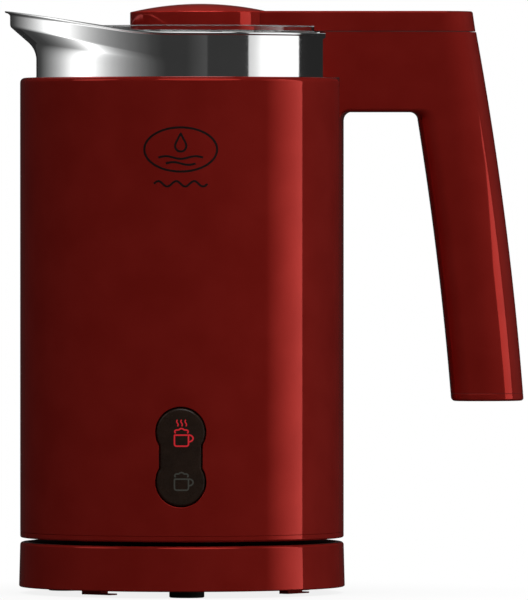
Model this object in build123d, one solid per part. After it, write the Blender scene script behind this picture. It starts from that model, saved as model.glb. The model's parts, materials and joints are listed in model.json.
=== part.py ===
from build123d import *
import math
import os

# A milk frothing jug on a round power base, in millimetres. +Z is up, +X points to the handle, -X to
# the spout, and -Y is the front, where the rocker button is. The origin is on the jug's axis, at the table.

# Clearances
RUN = 0.05                # round pin in a hole, and pieces that are pushed together
SPLIT = 0.3               # between pieces that move apart

# Power base
BASE_RIM_Z = 2.2
BASE_TOP_Z = 17.4
BASE_R_BOTTOM = 55.4
BASE_R_TOP = 55.0
BASE_WALL = 2.4
BASE_DECK_Z = 16.2        # the floor of the recess that holds the deck plate
BASE_DECK_R = 52.4
BASE_CEILING_Z = 14.2
BASE_HOLE_R = 15.9
PLATE_LOW_Z = 2.6
PLATE_HIGH_Z = 4.6
PLATE_R = 52.6
FOOT_R = 5.9
FOOT_CIRCLE_R = 45.0
FOOT_ANGLES = (-87.5, 32.5, 152.5)
HOOK_CIRCLE_R = 44.7
HOOK_ANGLES = (-130.6, -34.2, 62.0, 122.0)
HOOK_LOW_Z = 0.6
HOOK_HALF_T = 1.8
HOOK_STEM_HALF_W = 4.3
HOOK_TIP = 8.4
HOOK_TIP_T = 0.5
BASE_SCREW_CIRCLE_R = 34.0
BASE_SCREW_ANGLES = (30.0, 150.0, 270.0)
CORD_AXIS_Z = 9.4
CORD_R = 3.2
GLAND_HALF = 4.2          # the cord's bush is square outside, and this is half its side
GLAND_CORNER_R = 1.0
GLAND_FLANGE = 0.5

# Plug-in connector between base and jug
POST_R = 13.5
POST_TOP_Z = 29.5
SLOTS = ((0.0, 2.4), (5.6, 7.4), (9.4, 11.2))      # inner and outer radius of each contact slot
SLOT_FLOOR_Z = 19.5
CONTACT_T = 1.5
CONTACT_PIN_R = 1.5
CONTACT_LOW_Z = 22.0
SHUTTER_R = 18.4

# Jug body
JUG_LOW_Z = 18.9
JUG_SEAM_Z = 20.75
JUG_TOP_Z = 175.0
JUG_R = 55.0
JUG_WALL = 2.2
JUG_CORNER_R = 1.7
SOCKET_R = 14.2
SOCKET_WALL = 2.4
SOCKET_CEILING_Z = 31.5
FLOOR_BOSS_ANGLES = (60.0, 180.0, 300.0)
FLOOR_BOSS_CIRCLE_R = 48.0
FLOOR_BOSS_Z = (27.0, 42.0)
BOARD_Z = 41.0
BOARD_T = 1.6
BOARD_R = 42.0
BOARD_FLAT_Y = -36.0
BOARD_POST_ANGLES = (20.0, 130.0, 230.0)
BOARD_POST_CIRCLE_R = 37.0
SCREW_CLEAR_R = 1.6       # a hole that one of the small screws passes through

# Steel pot and its spout
POT_R = 49.5
POT_WALL = 0.8
POT_LOW_Z = 92.0
POT_FLOOR_T = 1.2
RIM_Z = 190.0
RIM_SLOPE_DEG = 9.1
RIM_KNEE_X = -12.0
RIM_BLEND_R = 125.0
LIP_T = 0.9
LIP_OUT = 0.8
SPOUT_REACH = 58.4        # from the axis to the spout's upright band
SPOUT_LIP_REACH = 60.2
CREASE_TIP_Z = 192.4      # where the band ends below, at the spout's tip
CREASE_AXIS_Z = 179.9     # the same plane, over the axis
FLARE_LOW_Z = 181.0
FLARE_AXIS_Z = 178.0
FLARE_R = 8.0
FLARE_TURN_DEG = 48.8

# Rocker button
ROCKER_R = 8.25
ROCKER_UPPER_Z = 55.7
ROCKER_LOWER_Z = 39.1
ROCKER_WAIST = 14.0
ROCKER_NOTCH_R = 1.6
ROCKER_GAP = 0.35
ROCKER_PIVOT_Y = -50.0
ROCKER_PIVOT_Z = (ROCKER_UPPER_Z + ROCKER_LOWER_Z) / 2
ROCKER_BACK_Y = -52.0
ROCKER_PIN_R = 1.0
PUSHER_AWAY = 3.0         # from the middle of either end of the rocker, outwards
LAMP_AWAY = 5.2           # from the pivot
BRACKET_Y = (-46.2, -44.6)
BUTTON_BOARD_T = 1.6

# Handle
HANDLE_HALF_W = 13.2
HANDLE_TOP_Z = 190.55
HANDLE_UNDER_Z = 163.4
HANDLE_LOW_Z = 65.3
HANDLE_SEAM_Z = 67.9
HANDLE_OUTER = ((100.0, 190.7), (110.6, 121.6), (116.2, 65.3))
HANDLE_INNER = ((79.75, 163.4), (85.8, 121.6), (91.65, 65.3))
HANDLE_MIDDLE_X = 98.0    # between the inner and the outer side of the grip
HANDLE_OUTER_ROUND = 12.5
HANDLE_INNER_ROUND = 6.4
HANDLE_CORNER_R = 2.7
CORNER_LAP = 0.25         # how far the inner corner's filler runs into the grip
HANDLE_WALL = 2.4
HANDLE_SCREW_Z = 168.2
HANDLE_SCREW_Y = 6.5
CORE_ROUTE = ((59.9, 167.0), (59.9, 181.0), (90.0, 181.0), (93.6, 157.0), (98.3, 121.6), (102.1, 88.0))
CORE_T = 2.6
SPIGOT_GAP = 0.15         # between the end cap's spigot and the grip's wall
TONGUE_X = 66.0
TONGUE_HALF = (5.0, 3.2)

# Lid
LID_R = 46.6
LID_RIM_Z = 192.4
LID_PLATE_Z = 190.7
LID_PLATE_T = 1.8
LID_SKIRT_R = 45.6
LID_SKIRT_Z = 185.5
LID_RIM_T = 1.5
KNOB_X = 6.4
KNOB_R = 24.0
KNOB_EDGE_Z = 197.3
KNOB_TOP_Z = 200.15
ARM_TOP_Z = 197.6
ARM_LOW_Z = 190.9
ARM_END_X = 99.8
ARM_END_TOP_X = 98.8
LID_SCREW_ANGLES = (90.0, 210.0, 330.0)
LID_SCREW_CIRCLE_R = 15.0
ARM_SCREW_X = 38.0

# Drive below the pot
ROTOR_R = 17.0
ROTOR_LOW_Z = 84.0
ROTOR_HIGH_Z = 90.4
MOTOR_R = 15.0
MOTOR_LOW_Z = 52.0
MOTOR_HIGH_Z = 76.0
SHAFT_R = 1.5
MAGNET_R = 4.0
MAGNET_CIRCLE_R = 10.5
MAGNET_T = 4.0
MAGNET_ANGLES = (0.0, 180.0)
HEATER_T = 4.0
BRACKET_LEG_ANGLES = (-30.0, 150.0, 245.0)
BRACKET_LEG_CIRCLE_R = 25.5

# Whisk
PIN_R = 1.5
HUB_R = 6.0
WHISK_R = 19.0
WHISK_WIRE_R = 2.2
WHISK_Z = 97.5

ON_FLOOR = (Align.CENTER, Align.CENTER, Align.MIN)


def disc(radius, low, high, x=0.0, y=0.0):
    """An upright cylinder between two heights."""
    return Pos(x, y, low) * Cylinder(radius, high - low, align=ON_FLOOR)


def ring(outer, inner, low, high, x=0.0, y=0.0):
    """An upright tube between two heights."""
    return disc(outer, low, high, x, y) - disc(inner, low - 1, high + 1, x, y)


def block(x_low, x_high, y_low, y_high, z_low, z_high):
    """A box given by its six sides."""
    size = (x_high - x_low, y_high - y_low, z_high - z_low)
    centre = ((x_low + x_high) / 2, (y_low + y_high) / 2, (z_low + z_high) / 2)
    return Pos(*centre) * Box(*size)


def around(angles, radius):
    """The plan positions at the given angles on a circle about the axis."""
    return [(radius * math.cos(math.radians(a)), radius * math.sin(math.radians(a))) for a in angles]


def turned(points):
    """The solid of revolution of a closed outline of (radius, height) points."""
    outline = Plane.XZ * make_face(Polyline(*points, close=True))
    return revolve(outline, Axis.Z)


def side_plate(face, half_width):
    """A face drawn in (x, z), thickened by half_width to the front and to the back."""
    return extrude(Plane.XZ * face, half_width, both=True)


def screw(x, y, head_z, up, length, shaft_r=1.4, head_r=2.8, head_h=1.5):
    """A cross-head screw on an upright line, pointing up or down from its head's bearing face at head_z."""
    way = 1 if up else -1
    far = head_z + way * length
    crown = head_z - way * head_h
    shaft = disc(shaft_r, min(head_z, far), max(head_z, far), x, y)
    head = disc(head_r, min(head_z, crown), max(head_z, crown), x, y)
    drive_low = min(crown, crown + way * 0.8)
    drive_high = max(crown, crown + way * 0.8)
    cross = block(x - 1.5, x + 1.5, y - 0.3, y + 0.3, drive_low, drive_high)
    cross += block(x - 0.3, x + 0.3, y - 1.5, y + 1.5, drive_low, drive_high)
    return shaft + head - cross


# ---------------------------------------------------------------- power base


def gland_block(half, y_low, y_high):
    """The outside of the cord's bush, or the notch that it fits: a square bar with rounded corners."""
    bar = block(-half, half, y_low, y_high, CORD_AXIS_Z - half, CORD_AXIS_Z + half)
    return fillet(bar.edges().filter_by(Axis.Y), GLAND_CORNER_R)


def base_housing():
    """The base's skirt and deck, open below, with pillars for its screws and a notch for the cord."""
    shell = turned((
        (BASE_R_BOTTOM - BASE_WALL, BASE_RIM_Z),
        (BASE_R_BOTTOM, BASE_RIM_Z),
        (BASE_R_TOP, BASE_TOP_Z),
        (BASE_DECK_R, BASE_TOP_Z),
        (BASE_DECK_R, BASE_DECK_Z),
        (BASE_HOLE_R, BASE_DECK_Z),
        (BASE_HOLE_R, BASE_CEILING_Z),
        (BASE_R_TOP - BASE_WALL, BASE_CEILING_Z),
    ))
    for radius, low_z, corner in ((BASE_R_TOP, BASE_CEILING_Z, 1.0), (BASE_R_BOTTOM, 0.0, 0.5)):
        circles = shell.edges().filter_by(GeomType.CIRCLE)
        edge = [e for e in circles if abs(e.radius - radius) < 0.01 and e.center().Z > low_z]
        shell = fillet(edge, corner)
    for x, y in around(BASE_SCREW_ANGLES, BASE_SCREW_CIRCLE_R):
        shell += ring(3.4, 1.45, PLATE_HIGH_Z, BASE_CEILING_Z, x, y)
    return shell - gland_block(GLAND_HALF + RUN, BASE_R_TOP - 6, BASE_R_TOP + 6)


def base_deck_plate():
    """The dark plate let into the top of the base, around the connector post."""
    return ring(BASE_DECK_R - RUN, BASE_HOLE_R, BASE_DECK_Z, BASE_TOP_Z - 0.2)


def base_bottom_plate():
    """The plate that closes the base from below, with four cord hooks and the holes for feet and screws."""
    plate = disc(PLATE_R, PLATE_LOW_Z, PLATE_HIGH_Z)
    plate -= disc(11.0, PLATE_LOW_Z, PLATE_LOW_Z + 0.6)
    for x, y in around(BASE_SCREW_ANGLES, BASE_SCREW_CIRCLE_R):
        plate -= disc(SCREW_CLEAR_R, PLATE_LOW_Z - 1, PLATE_HIGH_Z + 1, x, y)
    for x, y in around(FOOT_ANGLES, FOOT_CIRCLE_R):
        plate -= disc(2.5 + RUN, PLATE_LOW_Z - 1, PLATE_HIGH_Z + 1, x, y)
    for angle in HOOK_ANGLES:
        near, far = HOOK_CIRCLE_R - HOOK_HALF_T, HOOK_CIRCLE_R + HOOK_HALF_T
        hook = block(near, far, -HOOK_STEM_HALF_W, HOOK_STEM_HALF_W, HOOK_LOW_Z, PLATE_LOW_Z)
        hook += block(near, far, HOOK_STEM_HALF_W, HOOK_TIP, HOOK_LOW_Z, HOOK_LOW_Z + HOOK_TIP_T)
        plate += Rot(0, 0, angle) * hook
    return plate


def base_feet():
    """Three rubber feet, each with a stem through the bottom plate."""
    feet = []
    for x, y in around(FOOT_ANGLES, FOOT_CIRCLE_R):
        pad = disc(FOOT_R, 0.0, PLATE_LOW_Z, x, y)
        pad = fillet(pad.edges().group_by(Axis.Z)[0], 0.5)
        feet.append(pad + disc(2.5, PLATE_LOW_Z, PLATE_HIGH_Z + 1.0, x, y))
    return Compound(children=feet)


def base_screws():
    """Three screws that hold the bottom plate to the housing's pillars."""
    places = around(BASE_SCREW_ANGLES, BASE_SCREW_CIRCLE_R)
    return Compound(children=[screw(x, y, PLATE_LOW_Z, True, 9.0) for x, y in places])


def base_connector():
    """The round post in the middle of the base, with a slot for each contact of the jug."""
    post = disc(POST_R, 9.0, POST_TOP_Z)
    post = fillet(post.edges().group_by(Axis.Z)[-1], 1.0)
    post += disc(20.0, 10.2, BASE_CEILING_Z)
    for inner, outer in SLOTS:
        slot = disc(outer, SLOT_FLOOR_Z, POST_TOP_Z + 1)
        post -= slot - disc(inner, SLOT_FLOOR_Z - 1, POST_TOP_Z + 2) if inner else slot
    return post


def base_contacts():
    """The brass contacts on the floors of the post's slots."""
    pieces = []
    for inner, outer in SLOTS:
        low, high = SLOT_FLOOR_Z, SLOT_FLOOR_Z + CONTACT_T
        round_one = disc(outer - RUN, low, high)
        pieces.append(round_one - disc(inner + RUN, low - 1, high + 1) if inner else round_one)
    return Compound(children=pieces)


def cord_gland():
    """The bush in the back of the base that the mains lead passes through."""
    y_out = BASE_R_BOTTOM + 1.2
    collar = gland_block(GLAND_HALF, y_out - 5.4, y_out)
    collar += gland_block(GLAND_HALF + GLAND_FLANGE, y_out - 6.8, y_out - 5.2)
    bore = Pos(0, y_out, CORD_AXIS_Z) * Rot(90, 0, 0) * Cylinder(CORD_R, 30)
    return collar - bore


def connector_shutter():
    """The loose ring around the post, which turns with the jug."""
    plate = ring(SHUTTER_R, POST_R + SPLIT, BASE_TOP_Z + 0.15, JUG_LOW_Z - 0.45)
    return fillet(plate.edges().group_by(Axis.Z)[-1], 0.3)


# ---------------------------------------------------------------- jug body


def rocker_face(extra):
    """The rocker's outline in (x, z): two circles with a straight waist, grown by extra all round."""
    upper = Pos(0, ROCKER_UPPER_Z) * Circle(ROCKER_R + extra)
    lower = Pos(0, ROCKER_LOWER_Z) * Circle(ROCKER_R + extra)
    waist = Pos(0, ROCKER_PIVOT_Z) * Rectangle(ROCKER_WAIST + 2 * extra, ROCKER_UPPER_Z - ROCKER_LOWER_Z)
    outline = upper + lower + waist
    notches = outline.vertices().filter_by(lambda v: abs(v.Z) < 0.001 and 6 < abs(v.X) < 8.2)
    return fillet(notches, ROCKER_NOTCH_R)


def front_prism(face, y_far, y_near):
    """A face drawn in (x, z) as a prism between two distances from the axis, on the front side."""
    return extrude(Plane.XZ.offset(y_near) * face, y_far - y_near)


def outer_shell():
    """The jug's outer skin: a tube with a rolled top edge, a window for the rocker and screw pillars."""
    skin = disc(JUG_R, JUG_SEAM_Z, JUG_TOP_Z)
    skin = fillet(skin.edges().group_by(Axis.Z)[-1], JUG_CORNER_R)
    skin -= disc(JUG_R - JUG_WALL, JUG_SEAM_Z - 1, JUG_TOP_Z - JUG_WALL)
    skin -= disc(POT_R + 0.45, JUG_TOP_Z - 5, JUG_TOP_Z + 1)
    skin -= front_prism(rocker_face(ROCKER_GAP), 60.0, 45.0)
    for x, y in around(FLOOR_BOSS_ANGLES, FLOOR_BOSS_CIRCLE_R):
        low, high = FLOOR_BOSS_Z
        pillar = disc(4.2, low, high, x, y) + disc(4.2, low, high, x * 1.04, y * 1.04)
        pillar = pillar & disc(JUG_R - 1.0, 20, 50)
        skin += pillar - disc(1.45, low - 1, high - 3.0, x, y)
    for y in (-HANDLE_SCREW_Y, HANDLE_SCREW_Y):
        skin -= Pos(JUG_R - 1, y, HANDLE_SCREW_Z) * Rot(0, 90, 0) * Cylinder(1.8, 8)
    return skin


def bottom_cover():
    """The jug's floor: a thin band shows below the seam, and a spigot goes up inside the skin."""
    cover = disc(JUG_R, JUG_LOW_Z, JUG_SEAM_Z)
    cover = fillet(cover.edges().group_by(Axis.Z)[0], 0.6)
    spigot_r = JUG_R - JUG_WALL - RUN
    cover += ring(spigot_r, spigot_r - 2.0, JUG_SEAM_Z, 26.5)
    cover -= disc(SOCKET_R + SOCKET_WALL + 0.2, JUG_LOW_Z - 1, JUG_SEAM_Z + 1)
    for x, y in around(FLOOR_BOSS_ANGLES, FLOOR_BOSS_CIRCLE_R):
        cover -= disc(SCREW_CLEAR_R, JUG_LOW_Z - 1, 30, x, y)
        cover -= disc(3.0, JUG_LOW_Z - 1, JUG_LOW_Z + 1.0, x, y)
    for x, y in around(BOARD_POST_ANGLES, BOARD_POST_CIRCLE_R):
        cover += ring(3.0, 1.3, JUG_SEAM_Z, BOARD_Z, x, y)
    return cover


def bottom_screws():
    """Three screws, sunk into the jug's floor, that pull it up to the pillars of the skin."""
    places = around(FLOOR_BOSS_ANGLES, FLOOR_BOSS_CIRCLE_R)
    return Compound(children=[screw(x, y, JUG_LOW_Z + 1.0, True, 18.0, head_h=0.9) for x, y in places])


def jug_connector():
    """The upside-down cup in the jug's floor that fits over the base's post."""
    outer = SOCKET_R + SOCKET_WALL
    cup = ring(outer, SOCKET_R, JUG_LOW_Z + 0.2, SOCKET_CEILING_Z)
    cup += disc(outer, SOCKET_CEILING_Z, SOCKET_CEILING_Z + 2.5)
    cup += ring(22.0, SOCKET_R + 2.0, JUG_SEAM_Z, JUG_SEAM_Z + 1.8)
    return cup


def jug_contacts():
    """The jug's contacts: a middle pin and two rings that hang down into the post's slots."""
    pin = disc(CONTACT_PIN_R, CONTACT_LOW_Z, SOCKET_CEILING_Z)
    pin = fillet(pin.edges().group_by(Axis.Z)[0], 0.6)
    pieces = [pin]
    for inner, outer in SLOTS[1:]:
        pieces.append(ring(outer - 0.5, inner + 0.5, CONTACT_LOW_Z, SOCKET_CEILING_Z))
    return Compound(children=pieces)


def control_board():
    """The main board, a round plate with a flat towards the front, on three posts."""
    board = disc(BOARD_R, BOARD_Z, BOARD_Z + BOARD_T) & block(-60, 60, BOARD_FLAT_Y, 60, 0, 80)
    for x, y in around(BOARD_POST_ANGLES, BOARD_POST_CIRCLE_R):
        board -= disc(SCREW_CLEAR_R, BOARD_Z - 1, BOARD_Z + 3, x, y)
    return board


def board_screws():
    """Three screws that hold the main board on its posts."""
    places = around(BOARD_POST_ANGLES, BOARD_POST_CIRCLE_R)
    top = BOARD_Z + BOARD_T
    return Compound(children=[screw(x, y, top, False, 8.0, shaft_r=1.25, head_r=2.4) for x, y in places])


def board_components():
    """The larger parts on the main board: relay, transformer, capacitor and terminal block."""
    top = BOARD_Z + BOARD_T
    relay = block(19, 34, -9, 9, top, top + 15)
    transformer = block(-34, -19, -12, 12, top, top + 13)
    capacitor = disc(5.0, top, top + 14, -8, 29)
    terminals = block(2, 20, 24, 33, top, top + 9)
    return Compound(children=[relay, transformer, capacitor, terminals])


def pivot_rod(radius, length):
    """A round bar on the rocker's pivot line."""
    return Pos(0, ROCKER_PIVOT_Y, ROCKER_PIVOT_Z) * Rot(0, 90, 0) * Cylinder(radius, length)


def rocker_button():
    """The rocker's cap, cut to the jug's curve, with a pivot rib and two pushers behind it."""
    cap = front_prism(rocker_face(0.0), 60.0, -ROCKER_BACK_Y) & disc(JUG_R - 0.1, 20, 80)
    within = ROCKER_BACK_Y - 0.5
    rib = block(-5.0, 5.0, within, ROCKER_PIVOT_Y + 1.6, ROCKER_PIVOT_Z - 1.6, ROCKER_PIVOT_Z + 1.6)
    cap += rib - pivot_rod(ROCKER_PIN_R + RUN, 30)
    for z in (ROCKER_UPPER_Z + PUSHER_AWAY, ROCKER_LOWER_Z - PUSHER_AWAY):
        cap += block(-1.5, 1.5, within, ROCKER_PIVOT_Y + 0.1, z - 1.5, z + 1.5)
    return cap


def rocker_pin():
    """The steel pin that the rocker tips on."""
    return pivot_rod(ROCKER_PIN_R, 15.0)


def button_frame():
    """The bracket behind the rocker: two ears hold its pin and the back plate carries the button board."""
    front, back = BRACKET_Y
    plate = block(-11.5, 11.5, front, back, ROCKER_PIVOT_Z - 17.9, ROCKER_PIVOT_Z + 18.1)
    low, high = ROCKER_PIVOT_Z - 2.6, ROCKER_PIVOT_Z + 2.6
    for x in (-6.9, 6.9):
        plate += block(x - 1.2, x + 1.2, ROCKER_PIVOT_Y - 1.7, front, low, high)
    return plate - pivot_rod(ROCKER_PIN_R + 0.02, 30)


def button_board():
    """The small board on the bracket's back."""
    back = BRACKET_Y[1]
    return block(-10.5, 10.5, back, back + BUTTON_BOARD_T, ROCKER_PIVOT_Z - 16.9, ROCKER_PIVOT_Z + 17.1)


def button_switches():
    """A switch behind each end of the rocker."""
    front = BRACKET_Y[0]
    switches = []
    for z in (ROCKER_UPPER_Z + PUSHER_AWAY, ROCKER_LOWER_Z - PUSHER_AWAY):
        switches.append(block(-3.0, 3.0, front - 2.0, front, z - 3.0, z + 3.0))
    return Compound(children=switches)


def indicator_leds():
    """A lamp behind each symbol of the rocker."""
    front = BRACKET_Y[0]
    lamps = []
    for z in (ROCKER_PIVOT_Z + LAMP_AWAY, ROCKER_PIVOT_Z - LAMP_AWAY):
        lamps.append(block(-1.0, 1.0, front - 0.8, front, z - 0.7, z + 0.7))
    return Compound(children=lamps)


# ---------------------------------------------------------------- steel pot


def spout_section(reach, side, axis_z, tip_z):
    """Half an ellipse on the spout's side, closed across the axis, on a plane that rises to the tip."""
    rise = math.atan2(tip_z - axis_z, reach)
    plane = Plane(
        origin=(0, 0, axis_z),
        x_dir=(-math.cos(rise), 0, math.sin(rise)),
        z_dir=(math.sin(rise), 0, math.cos(rise)),
    )
    arc = EllipticalCenterArc((0, 0), reach / math.cos(rise), side, start_angle=-90, arc_size=180)
    chord = Line((0, side), (0, -side))
    return plane * make_face([arc, chord])


def spout_half(inset):
    """The spout's side of the pot as a solid, inset from the outer surface: tube, flare and band."""
    side = POT_R - inset
    turn = math.radians(FLARE_TURN_DEG)
    profile = [(POT_R + FLARE_R * (1 - math.cos(a)), FLARE_LOW_Z + FLARE_R * math.sin(a))
               for a in (0.0, turn / 3, turn * 2 / 3, turn)]
    profile.append((SPOUT_REACH, CREASE_TIP_Z))
    sections = []
    for reach, tip_z in profile:
        share = (tip_z - FLARE_LOW_Z) / (CREASE_TIP_Z - FLARE_LOW_Z)
        axis_z = FLARE_AXIS_Z + share * (CREASE_AXIS_Z - FLARE_AXIS_Z)
        sections.append(spout_section(reach - inset, side, axis_z, tip_z))
    low = POT_LOW_Z + (POT_FLOOR_T if inset else 0)
    tube = loft([spout_section(side, side, low, low), sections[0]], ruled=True)
    flare = tube
    for lower, upper in zip(sections, sections[1:]):
        flare += loft([lower, upper], ruled=True)
    top = spout_section(SPOUT_REACH - inset, side, RIM_Z + 30, RIM_Z + 30)
    return flare + loft([sections[-1], top], ruled=True)


def pot_solid(inset):
    """The pot's outer shape, or its inside when inset by the wall: a half tube and the spout's half."""
    low = POT_LOW_Z + (POT_FLOOR_T if inset else 0)
    back = disc(POT_R - inset, low, RIM_Z + 30) & block(0, 80, -80, 80, 0, 300)
    return back + spout_half(inset)


def below_rim(drop):
    """Everything under the rim's surface, which is level and then rises to the spout, lowered by drop."""
    slope = math.radians(RIM_SLOPE_DEG)
    run = RIM_BLEND_R * math.tan(slope / 2)
    z = RIM_Z - drop
    level = Line((80, z), (RIM_KNEE_X + run, z))
    bend = JernArc(level @ 1, (-1, 0), RIM_BLEND_R, -RIM_SLOPE_DEG)
    rise = Line(bend @ 1, bend @ 1 + (bend % 1) * 60)
    far_x = (rise @ 1).X
    rest = Polyline(rise @ 1, (far_x, 0), (80, 0), (80, z))
    return side_plate(make_face([level, bend, rise, rest]), 80)


def lip_band():
    """A prism of the lip's outline, which stands proud of the pot's wall and most of all at the spout."""
    side = POT_R + LIP_OUT
    back = disc(side, RIM_Z - 20, RIM_Z + 30) & block(0, 80, -80, 80, 0, 300)
    low = spout_section(SPOUT_LIP_REACH, side, RIM_Z - 20, RIM_Z - 20)
    high = spout_section(SPOUT_LIP_REACH, side, RIM_Z + 30, RIM_Z + 30)
    return back + loft([low, high], ruled=True)


def steel_pot():
    """The pressed steel pot: a wide tube, a flared spout with an upright band, and a lip at the mouth."""
    lip = (lip_band() & below_rim(0.0)) - below_rim(LIP_T)
    outside = (pot_solid(0.0) & below_rim(0.0)) + lip
    return outside - pot_solid(POT_WALL)


def pot_seal():
    """The soft ring that keeps milk from running between pot and skin."""
    return ring(JUG_R - JUG_WALL - RUN, POT_R + RUN, JUG_TOP_Z - JUG_WALL - 1.6, JUG_TOP_Z - JUG_WALL)


def spindle_pin():
    """The pin on the pot's floor that the whisk turns on."""
    floor = POT_LOW_Z + POT_FLOOR_T
    pin = disc(4.0, floor, floor + 0.8) + disc(PIN_R, floor + 0.8, floor + 9.0)
    return fillet(pin.edges().group_by(Axis.Z)[-1], 1.0)


def heater_ring():
    """The ring heater pressed against the underside of the pot."""
    return ring(40.0, 21.0, POT_LOW_Z - HEATER_T, POT_LOW_Z)


def thermostat():
    """The safety thermostat under the heater."""
    top = POT_LOW_Z - HEATER_T
    return disc(6.5, top - 7.0, top, 0, 30.5) + block(-2, 2, 22, 39, top - 5.0, top - 3.0)


def motor_bracket():
    """The plate that hangs the motor below the pot, with three legs up to the heater."""
    plate = ring(28.0, SHAFT_R + 3.0, MOTOR_HIGH_Z, MOTOR_HIGH_Z + 1.6)
    for x, y in around(BRACKET_LEG_ANGLES, BRACKET_LEG_CIRCLE_R):
        plate += disc(2.2, MOTOR_HIGH_Z, POT_LOW_Z - HEATER_T, x, y)
    return plate


def motor_can():
    """The motor's can, with its end bearing and terminals."""
    can = disc(MOTOR_R, MOTOR_LOW_Z, MOTOR_HIGH_Z)
    can = fillet(can.edges().filter_by(GeomType.CIRCLE).group_by(Axis.Z)[0], 1.5)
    can += disc(SHAFT_R + 2.6, MOTOR_HIGH_Z, MOTOR_HIGH_Z + 2.2)
    can += block(-8, -5, -1.5, 1.5, MOTOR_LOW_Z - 4, MOTOR_LOW_Z)
    can += block(5, 8, -1.5, 1.5, MOTOR_LOW_Z - 4, MOTOR_LOW_Z)
    return can - disc(SHAFT_R + RUN, MOTOR_HIGH_Z - 10, MOTOR_HIGH_Z + 10)


def motor_shaft():
    """The motor's shaft, from its bearing to the magnet carrier."""
    return disc(SHAFT_R, MOTOR_HIGH_Z - 9.5, ROTOR_LOW_Z + 4.0)


def magnet_carrier():
    """The disc on the motor's shaft that holds the drive magnets."""
    carrier = disc(ROTOR_R, ROTOR_LOW_Z + 1.5, ROTOR_HIGH_Z)
    carrier += disc(4.0, ROTOR_LOW_Z - 3.0, ROTOR_LOW_Z + 1.5)
    carrier -= disc(SHAFT_R, ROTOR_LOW_Z - 4, ROTOR_LOW_Z + 4.0)
    for x, y in around(MAGNET_ANGLES, MAGNET_CIRCLE_R):
        carrier -= disc(MAGNET_R + RUN, ROTOR_HIGH_Z - MAGNET_T, ROTOR_HIGH_Z + 1, x, y)
    return carrier


def drive_magnets():
    """Two magnets in the carrier on the motor."""
    low = ROTOR_HIGH_Z - MAGNET_T
    places = around(MAGNET_ANGLES, MAGNET_CIRCLE_R)
    return Compound(children=[disc(MAGNET_R, low, ROTOR_HIGH_Z, x, y) for x, y in places])


# ---------------------------------------------------------------- whisk


def whisk_hub():
    """The whisk's moulding: a capped bush over the spindle, with arms out to the magnets and the coil."""
    low = WHISK_Z - 2.6
    hub = disc(HUB_R, low, WHISK_Z + 9.0)
    hub = fillet(hub.edges().group_by(Axis.Z)[-1], 1.5)
    for x, y in around(MAGNET_ANGLES, MAGNET_CIRCLE_R):
        hub += disc(MAGNET_R + 1.2, low, WHISK_Z + 2.6, x, y)
    reach = WHISK_R - WHISK_WIRE_R - 0.1
    bar = block(-reach, reach, -1.5, 1.5, WHISK_Z - 1.5, WHISK_Z + 1.5)
    hub += bar + Rot(0, 0, 60) * bar + Rot(0, 0, 120) * bar
    hub += ring(reach, reach - 1.6, WHISK_Z - 1.5, WHISK_Z + 1.5)
    for x, y in around(MAGNET_ANGLES, MAGNET_CIRCLE_R):
        hub -= disc(MAGNET_R + RUN, low - 1, low + 3.6, x, y)
    return hub - disc(PIN_R + RUN, low - 1, WHISK_Z + 6.0)


def whisk_magnets():
    """Two magnets in the whisk, which follow those on the motor."""
    low = WHISK_Z - 2.6
    places = around(MAGNET_ANGLES, MAGNET_CIRCLE_R)
    return Compound(children=[disc(MAGNET_R, low + 0.1, low + 3.6, x, y) for x, y in places])


def whisk_coil():
    """The coiled wire around the whisk, as the ring that the coil fills."""
    return Pos(0, 0, WHISK_Z) * Torus(WHISK_R, WHISK_WIRE_R)


# ---------------------------------------------------------------- handle


def handle_edge_points(points, inset):
    """The three points of one side of the grip, moved inset away from the outside."""
    return [(x + inset, z) for x, z in points]


def long_edges(solid, half_width):
    """The long curved edges that bound the handle's flat sides."""
    circles = solid.edges().filter_by(GeomType.CIRCLE)
    return [e for e in circles if abs(abs(e.center().Y) - half_width) < 0.01]


def grip_solid(inset, low, high):
    """The handle between two heights: two long arcs in side view, with its four long edges rounded."""
    outer = ThreePointArc(*handle_edge_points(HANDLE_OUTER, -inset))
    inner = ThreePointArc(*handle_edge_points(HANDLE_INNER, inset))
    face = make_face([outer, Line(outer @ 1, inner @ 1), inner, Line(inner @ 0, outer @ 0)])
    half = HANDLE_HALF_W - inset
    grip = side_plate(face, half)
    outer_edges = [e for e in long_edges(grip, half) if e.center().X > HANDLE_MIDDLE_X]
    grip = fillet(outer_edges, HANDLE_OUTER_ROUND - inset)
    inner_edges = [e for e in long_edges(grip, half) if e.center().X < HANDLE_MIDDLE_X]
    grip = fillet(inner_edges, HANDLE_INNER_ROUND - inset)
    return grip & block(60, 130, -20, 20, low, high)


def neck_block(inset, high):
    """The handle's upper part, from the jug to the outer edge of the grip, with that end rounded."""
    half = HANDLE_HALF_W - inset
    low = HANDLE_UNDER_Z + inset
    outer = ThreePointArc(*handle_edge_points(HANDLE_OUTER, -inset))
    upper_x = 40.0
    face = make_face([
        outer,
        Line(outer @ 1, (upper_x, (outer @ 1).Y)),
        Line((upper_x, (outer @ 1).Y), (upper_x, (outer @ 0).Y)),
        Line((upper_x, (outer @ 0).Y), outer @ 0),
    ])
    solid = side_plate(face, half)
    solid = fillet(long_edges(solid, half), HANDLE_OUTER_ROUND - inset)
    return solid & block(0, 130, -20, 20, low, high)


def corner_filler(x, z, toward, half_width):
    """A concave corner of the handle's underside: a square corner less a round, toward +X or -X."""
    r = HANDLE_CORNER_R
    low_x, high_x = min(x, x + toward * r), max(x, x + toward * r)
    square = block(low_x, high_x, -half_width, half_width, z - r, z + 0.5)
    hollow = Pos(x + toward * r, 0, z - r) * Rot(90, 0, 0) * Cylinder(r, 60)
    return square - hollow


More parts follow.
